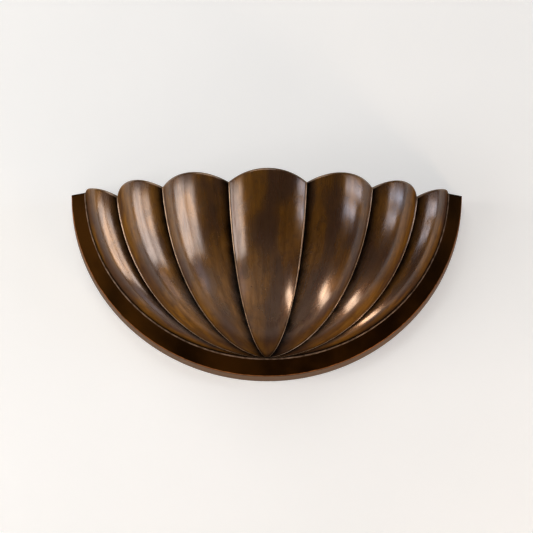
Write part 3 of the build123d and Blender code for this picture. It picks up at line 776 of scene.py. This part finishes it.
@dataclass
class Flute:
    """One flute: a sheet between two ribs that swells outward and has an arched, rounded top edge.

    A beaded edge carries a fine soldered bead and lies over its neighbour's tucked edge. The bead rises
    over the first bead_start of the flute's length and thins in its last bead_end. The finish darkens each
    joint, partly as patina and partly as painted shade beside the overlap: a point on the bead counts as
    shade_at_bead millimetres from a dark joint, and the distance grows shade_growth times as fast from
    there.
    The bead's pale line, worn metal with a painted highlight, is bead_foot_tone as strong at the foot as at
    the top.
    """

    name: str
    start: Rib
    end: Rib
    swell: float
    arch: float
    joints: Tuple[Joint, Joint]
    shape: BowlShape
    bead_radius: float = 0.8
    bead_start: float = 0.25
    bead_end: float = 0.01
    bead_end_height: float = 0.3
    bead_foot_tone: float = 0.4
    lip_rise: float = 0.02
    shade_at_bead: float = 2.5
    shade_growth: float = 2.0
    map_shift: float = 5.0
    columns: int = 71
    rows: int = 129
    lip_points: int = 8

    @property
    def chord(self) -> float:
        """Distance between the two ribs in plan."""
        return math.hypot(self.end.x - self.start.x, self.end.reach - self.start.reach)

    @property
    def arc(self) -> Tuple[float, float]:
        """Radius and half turn of the plan's arc."""
        radius = (self.chord ** 2 / 4 + self.swell ** 2) / (2 * self.swell)
        return radius, math.asin(self.chord / 2 / radius)

    def plan(self, share: Array) -> Tuple[Array, Array, Array]:
        """The flute's top edge seen from above.

        A circular arc through both ribs whose rise is the swell; a share of -1 to 1 runs along it. The
        drop goes straight from one rib's to the other's, less the arch times one minus the share squared.

        Args:
            share: Places along the arc.

        Returns:
            X, reach and drop at each place.
        """
        along = np.array([self.end.x - self.start.x, self.end.reach - self.start.reach]) / self.chord
        outward = np.array([along[1], -along[0]])
        radius, half_turn = self.arc
        turn = share * half_turn
        forward, rise = radius * np.sin(turn), radius * np.cos(turn) - radius + self.swell
        x = (self.start.x + self.end.x) / 2 + forward * along[0] + rise * outward[0]
        reach = (self.start.reach + self.end.reach) / 2 + forward * along[1] + rise * outward[1]
        drop = self.start.drop + (self.end.drop - self.start.drop) * (share + 1) / 2
        return x, reach, np.maximum(drop - self.arch * (1 - share ** 2), 0.0)

    def sheet(self, share: Array, up: Array, inset: float) -> Array:
        """One face of the sheet.

        Every upright cut through the bowl's axis is a quarter ellipse: its width is the plan's distance
        from the axis and its height the band's drop, both less the inset. It is walked by the angle from
        the lowest point, evenly up to the top edge.

        Args:
            share: Place across the flute, one for each column.
            up: Place along the flute, 0 at the lowest point and 1 at the top edge.
            inset: Distance inside the outer face.

        Returns:
            Points as columns by rows by three.
        """
        x, reach, drop = (part[:, None] for part in self.plan(share))
        distance = np.hypot(x, reach)
        height = self.shape.band_drop + self.shape.centre_rise - inset
        last = np.arccos((drop + self.shape.centre_rise) / height)
        turn = POLE_TURN + (last - POLE_TURN) * up[None, :]
        scale = (distance - inset) * np.sin(turn) / distance
        return np.stack([x * scale, -self.shape.band_depth - reach * scale,
                         self.shape.centre - height * np.cos(turn)], axis=-1)

    def shares(self) -> Array:
        """Places across the flute: closer together at both edges, and closest over each bead.

        The even places and the sine of their quarter turns are averaged, and those over a bead give way to
        the bead's own places.

        Returns:
            Shares from -1 to 1, in order.
        """
        even = np.linspace(-1, 1, self.columns)
        base = (even + np.sin(even * np.pi / 2)) / 2
        radius, half_turn = self.arc
        close = self.bead_radius * BEAD_PLACES / (radius * half_turn)
        base = base[np.abs(base) < 1 - close[-1]]
        return np.unique(np.concatenate([base, 1 - close, close - 1, [-1.0, 1.0]]))

    def beads(self, share: Array) -> Array:
        """Height of the bead: a half circle beside each beaded edge.

        Args:
            share: Places across the flute.

        Returns:
            The height at each place, in bead radii.
        """
        radius, half_turn = self.arc
        height = np.zeros_like(share)
        for joint, end in zip(self.joints, (-1.0, 1.0)):
            if joint is Joint.BEADED:
                away = np.abs(end - share) * radius * half_turn / self.bead_radius
                height = np.maximum(height, np.sqrt(np.clip(1 - (away - 1) ** 2, 0.0, None)))
        return height

    def build(self) -> Piece:
        """Joins the outer face, the rounded top edge and the inner face into one closed solid.

        The outer face is raised along the line from the inner one by the bead's height.

        Returns:
            The new object.
        """
        share = self.shares()
        up = np.linspace(0.0, 1.0, self.rows)
        outer, inner = self.sheet(share, up, 0.0), self.sheet(share, up, self.shape.wall)
        bead = self.beads(share)
        away = outer - inner
        away /= np.linalg.norm(away, axis=-1, keepdims=True)
        fade = np.clip(up / self.bead_start, 0.0, 1.0)
        fade = fade * np.clip((1 - up) / self.bead_end, self.bead_end_height, 1.0)
        outer = outer + away * (bead[:, None] * fade[None, :] * self.bead_radius)[..., None]
        lip = self.top_lip(outer[:, -1], inner[:, -1])
        loop = np.concatenate([outer, lip, inner[:, ::-1]], axis=1)
        columns, around = loop.shape[:2]
        near = np.arange(around // 2 - 1)
        cap = np.stack([near, near + 1, around - 2 - near, around - 1 - near], axis=1)
        quads = np.concatenate([ring_quads(columns, around), cap, cap[:, ::-1] + (columns - 1) * around])
        piece = mesh_object(self.name, loop.reshape(-1, 3), quads)
        self.write_values(piece, share, outer, bead)
        merge_doubles(piece)
        return piece

    def top_lip(self, outer: Array, inner: Array) -> Array:
        """An eased edge between the sheet's two top edges.

        Each point is the middle of the edge plus half the wall times the cosine of a half turn, raised by
        lip_rise times half the wall times its sine.

        Args:
            outer: The outer face's top edge.
            inner: The inner face's top edge.

        Returns:
            Points as columns by lip points by three.
        """
        middle, half = (outer + inner) / 2, (outer - inner) / 2
        turn = np.linspace(0, np.pi, self.lip_points + 2)[1:-1][None, :, None]
        rise = np.array([0.0, 0.0, 1.0]) * np.linalg.norm(half, axis=1)[:, None]
        return middle[:, None] + half[:, None] * np.cos(turn) + rise[:, None] * np.sin(turn) * self.lip_rise

    def write_values(self, piece: Piece, share: Array, outer: Array, bead: Array) -> None:
        """Gives each point its distances to the joints and to the top, its bead, its facing and its place.

        A distance is the sum of the steps between neighbouring points. The facing is the share of the
        outward direction that points straight out from the wall.

        Args:
            piece: The flute's object, before its doubles are merged.
            share: Places across the flute.
            outer: The outer face's points.
            bead: The bead's height at each place across.
        """
        step = np.linalg.norm(np.diff(outer, axis=0), axis=-1)
        across = np.concatenate([np.zeros((1, self.rows)), np.cumsum(step, axis=0)])
        rise = np.linalg.norm(np.diff(outer, axis=1), axis=-1)
        along = np.concatenate([np.zeros((len(share), 1)), np.cumsum(rise, axis=1)], axis=1)
        shade = np.full(across.shape, FAR_MM)
        for joint, gap in zip(self.joints, (across, across[-1] - across)):
            beside_bead = self.shade_at_bead + self.shade_growth * gap
            shade = np.minimum(shade, gap if joint is Joint.TUCKED else beside_bead)

        def looped(values: Array) -> Array:
            """The outer face's values, repeated over the top edge and the inner face."""
            lip = np.repeat(values[:, -1:], self.lip_points, axis=1)
            return np.concatenate([values, lip, values[:, ::-1]], axis=1)

        # The bead's painted highlight over worn metal, fainter towards the foot.
        worn_bead_highlight = bead[:, None] * np.linspace(self.bead_foot_tone, 1.0, self.rows)[None, :]
        inside = np.zeros((len(share), 2 * self.rows + self.lip_points))
        inside[:, -self.rows:] = 1.0
        normal = np.cross(np.gradient(outer, axis=0), np.gradient(outer, axis=1))
        front = np.abs(normal[..., 1]) / np.maximum(np.linalg.norm(normal, axis=-1), LEAST_LENGTH)
        # The first rows are too narrow for a sure normal, so they take the third row's.
        front[:, :2] = front[:, 2:3]
        point_values(piece, shade_mm=looped(shade), bead=looped(worn_bead_highlight), top_mm=looped(along[:, -1:] - along),
                     front=looped(front), inside=inside)
        # Each flute starts at its own place on the map, so that no two have the same pattern.
        shift = self.map_shift * self.start.x
        point_map(piece, looped(across - across[-1] / 2 + shift) * MM, looped(along) * MM)


@dataclass
class Bowl:
    """The seven flutes of the shell, right to left."""

    shape: BowlShape
    outer: Rib = Rib(149.0, 33.5, 15.0)
    middle: Rib = Rib(102.0, 74.0, 18.0)
    inner: Rib = Rib(37.5, 103.0, 21.5)
    swells: Tuple[float, ...] = (9.0, 10.5, 11.0, 12.0)
    arches: Tuple[float, ...] = (4.7, 9.5, 9.2, 10.0)
    names: Tuple[str, ...] = ("right_outer", "right_middle", "right_inner", "centre", "left_inner",
                              "left_middle", "left_outer")

    def joints(self, number: int) -> Tuple[Joint, Joint]:
        """Each flute lies over its outer neighbour, and the outermost ones are tucked on both edges.

        Args:
            number: The flute's place in the names.

        Returns:
            The joints of its first and second edges.
        """
        middle = len(self.names) // 2
        start = Joint.BEADED if 0 < number <= middle else Joint.TUCKED
        end = Joint.BEADED if middle <= number < len(self.names) - 1 else Joint.TUCKED
        return start, end

    def build(self) -> None:
        """Makes each flute in place of its CAD node."""
        right = [Rib(self.shape.band_half_width, 0.0, 0.0), self.outer, self.middle, self.inner]
        ribs = right + [Rib(-rib.x, rib.reach, rib.drop) for rib in reversed(right)]
        swells = self.swells + self.swells[-2::-1]
        arches = self.arches + self.arches[-2::-1]
        for number, name in enumerate(self.names):
            flute = Flute(f"sheet_{name}", ribs[number], ribs[number + 1], swells[number], arches[number],
                          self.joints(number), self.shape)
            piece = flute.build()
            piece.data.materials.append(BRONZE.build())
            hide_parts(f"flute_{name}")
            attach(piece, "fixture")
            log.info("%s: %d points", piece.name, len(piece.data.vertices))


# ---------------------------------------------------------------- rim
@dataclass
class Rim:
    """The return, the sloping band and the ledge, each a section carried round the half ellipse."""

    shape: BowlShape
    half_width: float = 200.0
    drop: float = 188.0
    return_depth: float = 17.0
    draft: float = 1.8
    wall: float = 2.0
    seat: float = 3.0
    ledge_width: float = 13.0
    ledge_depth: Tuple[float, float] = (6.0, 8.0)
    arris_radius: float = 0.8
    bead_radius: float = 0.75
    return_share: float = 0.93
    band_shares: Tuple[float, float] = (0.06, 0.9)
    side_points: int = 9
    steps: int = 241

    def carried(self, section: Array, top: float) -> Array:
        """A closed section carried along the half ellipse.

        A section point is a half width, a drop and a depth. Its path is the half width times the sine and
        the drop (from the shared centre) times the cosine of a turn, which is cut level at the top.

        Args:
            section: Points as rows of half width, drop and depth.
            top: Height of the level cut.

        Returns:
            Points as steps by section points by three.
        """
        rise = self.shape.centre - top
        width, drop, depth = section.T[:, None, :]
        tall = drop + self.shape.centre_rise
        turn = np.linspace(-1, 1, self.steps)[:, None] * np.arccos(rise / tall)
        return np.stack([width * np.sin(turn), -np.broadcast_to(depth, turn.shape),
                         self.shape.centre - tall * np.cos(turn)], axis=-1)

    def section(self) -> Tuple[Array, Array, Array, Array]:
        """The channel's closed section.

        It goes out along the return, round the front arris, in along the band, over a half-round bead and
        back inside by the wall's thickness.

        Returns:
            Its points, and each point's distance to the front arris, whether it is on the return, and
            whether it is on the bead along the band's inner edge.
        """
        shape, wall = self.shape, self.wall
        back = np.array([self.half_width, self.drop, 0.0])
        front = np.array([self.half_width - self.draft, self.drop - self.draft, self.return_depth])
        lip = np.array([shape.band_half_width, shape.band_drop, shape.band_depth])
        land = lip - np.array([self.seat, self.seat, 0.0])
        inward = np.array([wall, wall, 0.0])
        under = np.array([0.0, 0.0, -wall])
        side = np.linspace(0, 1, self.side_points)[:, None]
        slope = (lip - front) / np.linalg.norm(lip - front)
        out = np.array([0.0, 0.0, 1.0]) - slope * slope[2]
        out /= np.linalg.norm(out)
        turn = np.linspace(np.pi, 0, self.side_points)[:, None]
        ridge = lip + self.bead_radius * (slope * (np.cos(turn) - 1) + out * np.sin(turn))
        first, span = self.band_shares
        outline = {
            "return": back + (front - back) * side[:-1] * self.return_share,
            "arris": eased_corner(back, front, lip, self.arris_radius),
            "band": front + (ridge[0] - front) * (first + span * side),
            "bead": ridge,
            "inside": np.stack([land, land + under, lip - inward * 0.5 + under,
                                front - inward + under * 0.5, back - inward])}
        points = np.concatenate(list(outline.values()))
        part = np.repeat(list(outline), [len(run) for run in outline.values()])
        return points, np.linalg.norm(points - front, axis=1), part == "return", part == "bead"

    def build(self) -> None:
        """Makes the channel with its closed top ends, and the ledge inside it, in place of the CAD node."""
        section, *values = self.section()
        channel = self.carried(section, self.shape.rim_top)
        edge = self.wall / 2 + self.draft / 2
        far = self.wall + self.ledge_width
        low, high = self.ledge_depth
        ledge = np.array([[self.half_width - inset, self.drop - inset, depth]
                          for inset, depth in ((edge, low), (edge, high), (far, high), (far, low))])
        ring = self.carried(ledge, self.shape.rim_top - self.wall / 2)
        points = np.concatenate([channel.reshape(-1, 3), ring.reshape(-1, 3)])
        count = self.steps * len(section)
        quads = np.concatenate([ring_quads(self.steps, len(section)),
                                ring_quads(self.steps, len(ledge)) + count])
        piece = mesh_object("rim_channel", points, quads)
        arris, on_return, bead = (
            np.concatenate([np.tile(value, self.steps), np.full(len(points) - count, on_ledge)])
            for value, on_ledge in zip(values, (FAR_MM, 0.0, 0.0)))
        point_values(piece, arris_mm=arris, on_return=on_return, bead=bead)
        close_ends(piece)
        piece.data.materials.append(RIM_BRONZE.build())
        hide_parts("rim_frame")
        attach(piece, "fixture")
        log.info("%s: %d points", piece.name, len(piece.data.vertices))


# ---------------------------------------------------------------- lamps
@dataclass
class Lamp:
    """A small round screw-cap lamp: its glass is a turned skin, and its cap carries a rolled thread."""

    side: Side
    ball_radius: float = 22.5
    glass: float = 1.0
    neck_radius: float = 6.3
    shoulder: float = -50.0
    neck_points: int = 20
    ball_points: int = 48
    cap_crest: float = 6.8
    cap_root: float = 6.25
    foot_bevel: float = 0.8
    top_bevel: float = 0.4
    thread_turns: int = 5
    thread_start: float = 0.12
    thread_end: float = 0.88
    cap_points: int = 90

    def build(self) -> None:
        """Makes the glass and the cap in place of their CAD nodes."""
        low, high = (np.array(corner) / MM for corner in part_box(f"lamp_glass_{self.side.word}"))
        centre = (float(low[0] + high[0]) / 2, float(low[1] + high[1]) / 2)
        profile = self.glass_profile(float(low[2]), float(high[2]))
        glass = turned_solid(f"bulb_{self.side.word}", *profile, centre)
        glass.data.materials.append(BULB_GLASS.build())
        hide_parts(f"lamp_glass_{self.side.word}")
        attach(glass, f"lamp_{self.side.word}")
        low, high = (np.array(corner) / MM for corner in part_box(f"lamp_cap_{self.side.word}"))
        profile = self.cap_profile(float(low[2]), float(high[2]))
        cap = turned_solid(f"screw_cap_{self.side.word}", *profile, centre)
        cap.data.materials.append(CAP_METAL.build())
        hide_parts(f"lamp_cap_{self.side.word}")
        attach(cap, f"lamp_{self.side.word}")
        for piece in (glass, cap):
            log.info("%s: %d points", piece.name, len(piece.data.vertices))

    def glass_profile(self, foot: float, top: float) -> Tuple[Array, Array]:
        """Out along the outer skin and back along the inner one.

        The ball is a circle about its centre; below the shoulder, an angle under its waist, a smooth cubic
        leads its edge into the upright neck.

        Args:
            foot: Height of the neck's end.
            top: Height of the ball's top.

        Returns:
            The closed profile's radii and heights.
        """
        skins = []
        for inset in (0.0, self.glass):
            radius, centre = self.ball_radius - inset, top - self.ball_radius
            meet = math.radians(self.shoulder)
            start = np.array([self.neck_radius - inset, foot])
            end = np.array([radius * math.cos(meet), centre + radius * math.sin(meet)])
            span = float(np.linalg.norm(end - start))
            t = np.linspace(0, 1, self.neck_points, endpoint=False)[:, None]
            rise, lean = np.array([0.0, 1.0]) * span, np.array([-math.sin(meet), math.cos(meet)]) * span
            neck = ((2 * t ** 3 - 3 * t ** 2 + 1) * start + (t ** 3 - 2 * t ** 2 + t) * rise
                    + (-2 * t ** 3 + 3 * t ** 2) * end + (t ** 3 - t ** 2) * lean)
            turn = np.linspace(meet, np.pi / 2, self.ball_points)
            ball = np.stack([radius * np.cos(turn), centre + radius * np.sin(turn)], axis=1)
            skins.append(np.concatenate([neck, ball]))
        loop = np.concatenate([skins[0], skins[1][::-1], skins[0][:1]])
        return np.maximum(loop[:, 0], 0.0), loop[:, 1]

    def cap_profile(self, foot: float, top: float) -> Tuple[Array, Array]:
        """A closed cap whose side waves between crest and root once for each turn of thread.

        The wave is half of one plus the cosine of the turn, which grows evenly with the height.

        Args:
            foot: Height of the cap's lower end.
            top: Height of the cap's upper end.

        Returns:
            The profile's radii and heights.
        """
        height = np.linspace(0, 1, self.cap_points)
        turn = self.thread_turns * (height - self.thread_start) / (self.thread_end - self.thread_start)
        wave = 0.5 + 0.5 * np.cos(2 * np.pi * turn)
        threaded = (height > self.thread_start) & (height < self.thread_end)
        radius = np.where(threaded, self.cap_root + (self.cap_crest - self.cap_root) * wave, self.cap_crest)
        level = foot + (top - foot) * height
        radii = np.concatenate([[0.0, self.cap_crest - self.foot_bevel], radius,
                                [self.cap_crest - self.top_bevel, 0.0]])
        return radii, np.concatenate([[foot, foot], level, [top, top]])


# ---------------------------------------------------------------- plain CAD pieces
@dataclass
class Fittings:
    """The metal, plastic and wire pieces that keep their CAD meshes and get a finish."""

    shared: Dict[str, Finish] = field(default_factory=lambda: {
        "wall_bracket": ZINC, "back_plate": POWDER_COAT, "back_plate_screws": ZINC, "bracket_rivets": ZINC,
        "lock_nut": ZINC, "lock_screw": TURNED_BRASS, "terminal_block": OFF_WHITE, "pole_screws": ZINC,
        "cable_grommet": RUBBER, "earth_stud": TURNED_BRASS, "earth_nut": TURNED_BRASS, "earth_ring": TINNED,
        "earth_wire": EARTH_SLEEVE})
    paired: Dict[str, Finish] = field(default_factory=lambda: {
        "lamp_bracket": POWDER_COAT, "lampholder": PHENOLIC, "contact_shell": TURNED_BRASS,
        "centre_contact": TURNED_BRASS, "nipple": TURNED_BRASS, "nipple_nut": TURNED_BRASS,
        "lamp_tip": TINNED, "lamp_insulator": VITREOUS, "lamp_stem": STEM_GLASS, "lamp_filaments": PHOSPHOR,
        "lamp_wires": WIRE_SLEEVE})

    def dress(self, nodes: Dict[str, Piece]) -> None:
        """Puts each node's finish into its material slots.

        Args:
            nodes: The CAD nodes by name.
        """
        finishes = dict(self.shared)
        for name, finish in self.paired.items():
            finishes.update({f"{name}_{side.word}": finish for side in Side})
        for name, finish in finishes.items():
            for holder in nodes[name].material_slots:
                holder.material = finish.build()
            log.info("%s: %s", name, finish.name)


# ---------------------------------------------------------------- room
@dataclass(frozen=True)
class Panel:
    """A soft light panel, given by its direction from the light and its apparent size, in degrees.

    Azimuth 0 is straight out from the wall and grows to the right. The distance is in metres, and a panel
    of brightness 1, seen directly, is just white.
    """

    name: str
    azimuth: float
    elevation: float
    wide: float
    high: float
    distance: float
    brightness: float
    colour: str

    def build(self, target: Vector) -> None:
        """Adds the panel, turned to face the target.

        Args:
            target: The place that the panel's direction is taken from.
        """
        turn, tilt = math.radians(self.azimuth), math.radians(self.elevation)
        away = Vector((math.sin(turn) * math.cos(tilt), -math.cos(turn) * math.cos(tilt), math.sin(tilt)))
        lamp = bpy.data.lights.new(self.name, "AREA")
        lamp.shape = "RECTANGLE"
        lamp.size = 2 * self.distance * math.tan(math.radians(self.wide) / 2)
        lamp.size_y = 2 * self.distance * math.tan(math.radians(self.high) / 2)
        lamp.energy = math.pi * self.brightness * lamp.size * lamp.size_y
        lamp.color = linear(self.colour)[:3]
        holder = bpy.data.objects.new(self.name, lamp)
        holder.location = target + away * self.distance
        holder.rotation_euler = (-away).to_track_quat("-Z", "Y").to_euler()
        bpy.context.scene.collection.objects.link(holder)


@dataclass
class Room:
    """Pale wall and floor in matt paint, soft panels and a dim world; its own sizes are in metres."""

    wall_colour: str = "#e5e7e8"
    floor_colour: str = "#cbc3b8"
    chalk_white: str = "#ffffff"
    wall_glow: float = 0.44
    wall_gap: float = 0.0015
    floor_level: float = -1.25
    reach: float = 4.0
    stipple_mm: float = 2.0
    stipple_depth_mm: float = 0.03
    drift_mm: float = 300.0
    world_colour: str = "#ffd6a8"
    world_strength: float = 0.09
    aim: Tuple[float, float, float] = (0.0, -0.07, 0.0)
    # Each panel: its name, azimuth, elevation, width and height, then distance, brightness and colour.
    panels: Tuple[Panel, ...] = (
        Panel("key_above", -12.0, 42.0, 44.0, 30.0, 2.2, 2.1, "#fffdf8"),
        Panel("window_far_left", -73.0, -7.0, 21.0, 32.0, 2.0, 6.0, "#fff9f4"),
        Panel("window_left", -52.0, -9.0, 15.0, 32.0, 2.0, 5.0, "#fff9f4"),
        Panel("window_foot", -72.0, -36.0, 18.0, 16.0, 1.7, 0.8, "#d8deff"),
        Panel("pane_upper_right", 70.0, 7.0, 34.0, 5.0, 2.0, 6.0, "#dde8ff"),
        Panel("pane_lower_right", 66.0, -2.5, 24.0, 6.0, 2.0, 5.0, "#dde8ff"),
        Panel("low_warm_right", 78.0, -46.0, 26.0, 8.5, 1.3, 16.5, "#ffe2c4"),
    )

    def build(self) -> None:
        """Makes the wall, the floor, the panels and the world."""
        self.surface("wall_backdrop", [(-1, 0, -1), (1, 0, -1), (1, 0, 1), (-1, 0, 1)],
                     Vector((0.0, self.wall_gap, self.reach + self.floor_level)), self.wall_colour,
                     self.wall_glow)
        self.surface("floor", [(-1, -1, 0), (1, -1, 0), (1, 1, 0), (-1, 1, 0)],
                     Vector((0.0, self.wall_gap - self.reach, self.floor_level)), self.floor_colour, 0.0)
        for panel in self.panels:
            panel.build(Vector(self.aim))
            log.info("%s: lit", panel.name)
        world = bpy.data.worlds.new("room_air")
        world.use_nodes = True
        background = world.node_tree.nodes["Background"]
        background.inputs["Color"].default_value = linear(self.world_colour)
        background.inputs["Strength"].default_value = self.world_strength
        bpy.context.scene.world = world

    def surface(self, name: str, corners: Sequence[Tuple[int, int, int]], centre: Vector, colour: str,
                glow: float) -> None:
        """One flat square of the room in rolled matt paint, clear from behind.

        Camera, glossy and transmission rays see it brighter than its lighting makes it, by its glow.

        Args:
            name: The surface's name.
            corners: Its corners, in units of the room's reach from its centre.
            centre: Its centre, in metres.
            colour: The paint's colour, as an sRGB hex value.
            glow: How much light of that colour those rays see added.
        """
        points = np.array([Vector(corner) * self.reach + centre for corner in corners]) / MM
        piece = mesh_object(name, points, np.array([[0, 1, 2, 3]]))
        material, tree = new_material(f"matt_paint_{name}")
        place = add_node(tree, "TexCoord", (), "Object")
        stipple, drift = (
            add_node(tree, "TexNoise", {"Vector": place, "Scale": per_metre(size), "Detail": 3.0})
            for size in (self.stipple_mm, self.drift_mm))
        share = add_node(tree, "MapRange", (drift, *NOISE, 0.0, 0.2), **SMOOTH)
        coat = two_tone(tree, share, (colour, self.chalk_white), stipple, self.stipple_depth_mm)
        paint = add_node(tree, "BsdfDiffuse", {"Color": coat["Base Color"], "Normal": coat["Normal"]})
        camera, glossy, transmission = (
            add_node(tree, "LightPath", (), f"Is {way} Ray") for way in ("Camera", "Glossy", "Transmission"))
        seen = add_node(tree, "Math", (camera, glossy), operation="MAXIMUM")
        seen = add_node(tree, "Math", (seen, transmission), operation="MAXIMUM")
        strength = add_node(tree, "Math", (seen, glow), operation="MULTIPLY")
        light = add_node(tree, "Emission", {"Color": linear(colour), "Strength": strength})
        mixed = add_node(tree, "MixShader", (
            add_node(tree, "NewGeometry", (), "Backfacing"), add_node(tree, "AddShader", (paint, light)),
            add_node(tree, "BsdfTransparent")))
        add_node(tree, "OutputMaterial", {"Surface": mixed})
        piece.data.materials.append(material)
        log.info("%s: painted", name)


@dataclass
class PhotoCamera:
    """The photograph's camera: below the light, looking 15 degrees up at it; lengths in metres."""

    distance: float = 1.6214
    target: Tuple[float, float, float] = (-0.0003, 0.0, -0.0048)
    pitch: float = 15.0
    yaw: float = 0.4
    focal_pixels: float = 1600.0
    image_pixels: float = 533.0
    sensor_mm: float = 36.0

    def build(self) -> None:
        """Adds the camera and makes it the scene's own."""
        pitch, yaw = math.radians(self.pitch), math.radians(self.yaw)
        forward = Vector((math.sin(yaw) * math.cos(pitch), math.cos(yaw) * math.cos(pitch), math.sin(pitch)))
        right = Vector((math.cos(yaw), -math.sin(yaw), 0.0))
        up = right.cross(forward)
        lens = bpy.data.cameras.new("photo_camera")
        lens.sensor_width = self.sensor_mm
        lens.lens = self.sensor_mm * self.focal_pixels / self.image_pixels
        holder = bpy.data.objects.new("photo_camera", lens)
        spot = Vector(self.target) - forward * self.distance
        axes = Matrix((right, up, -forward)).transposed().to_4x4()
        holder.matrix_world = Matrix.Translation(spot) @ axes
        bpy.context.scene.collection.objects.link(holder)
        bpy.context.scene.camera = holder
        log.info("%s: placed", holder.name)


def main() -> None:
    """Loads the frame, builds every sub-assembly in order and reports each one."""
    logging.basicConfig(level=logging.INFO, format="%(name)s: %(message)s")
    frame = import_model()
    rim_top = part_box("rim_frame")[1][2] / MM
    shape = BowlShape(rim_top=round(float(rim_top), 3))
    PhotoCamera().build()
    Bowl(shape).build()
    Rim(shape).build()
    for side in Side:
        Lamp(side).build()
    Fittings().dress(frame["nodes"])
    Room().build()
    bpy.context.scene.view_settings.view_transform = "Standard"


if __name__ == "__main__":
    main()
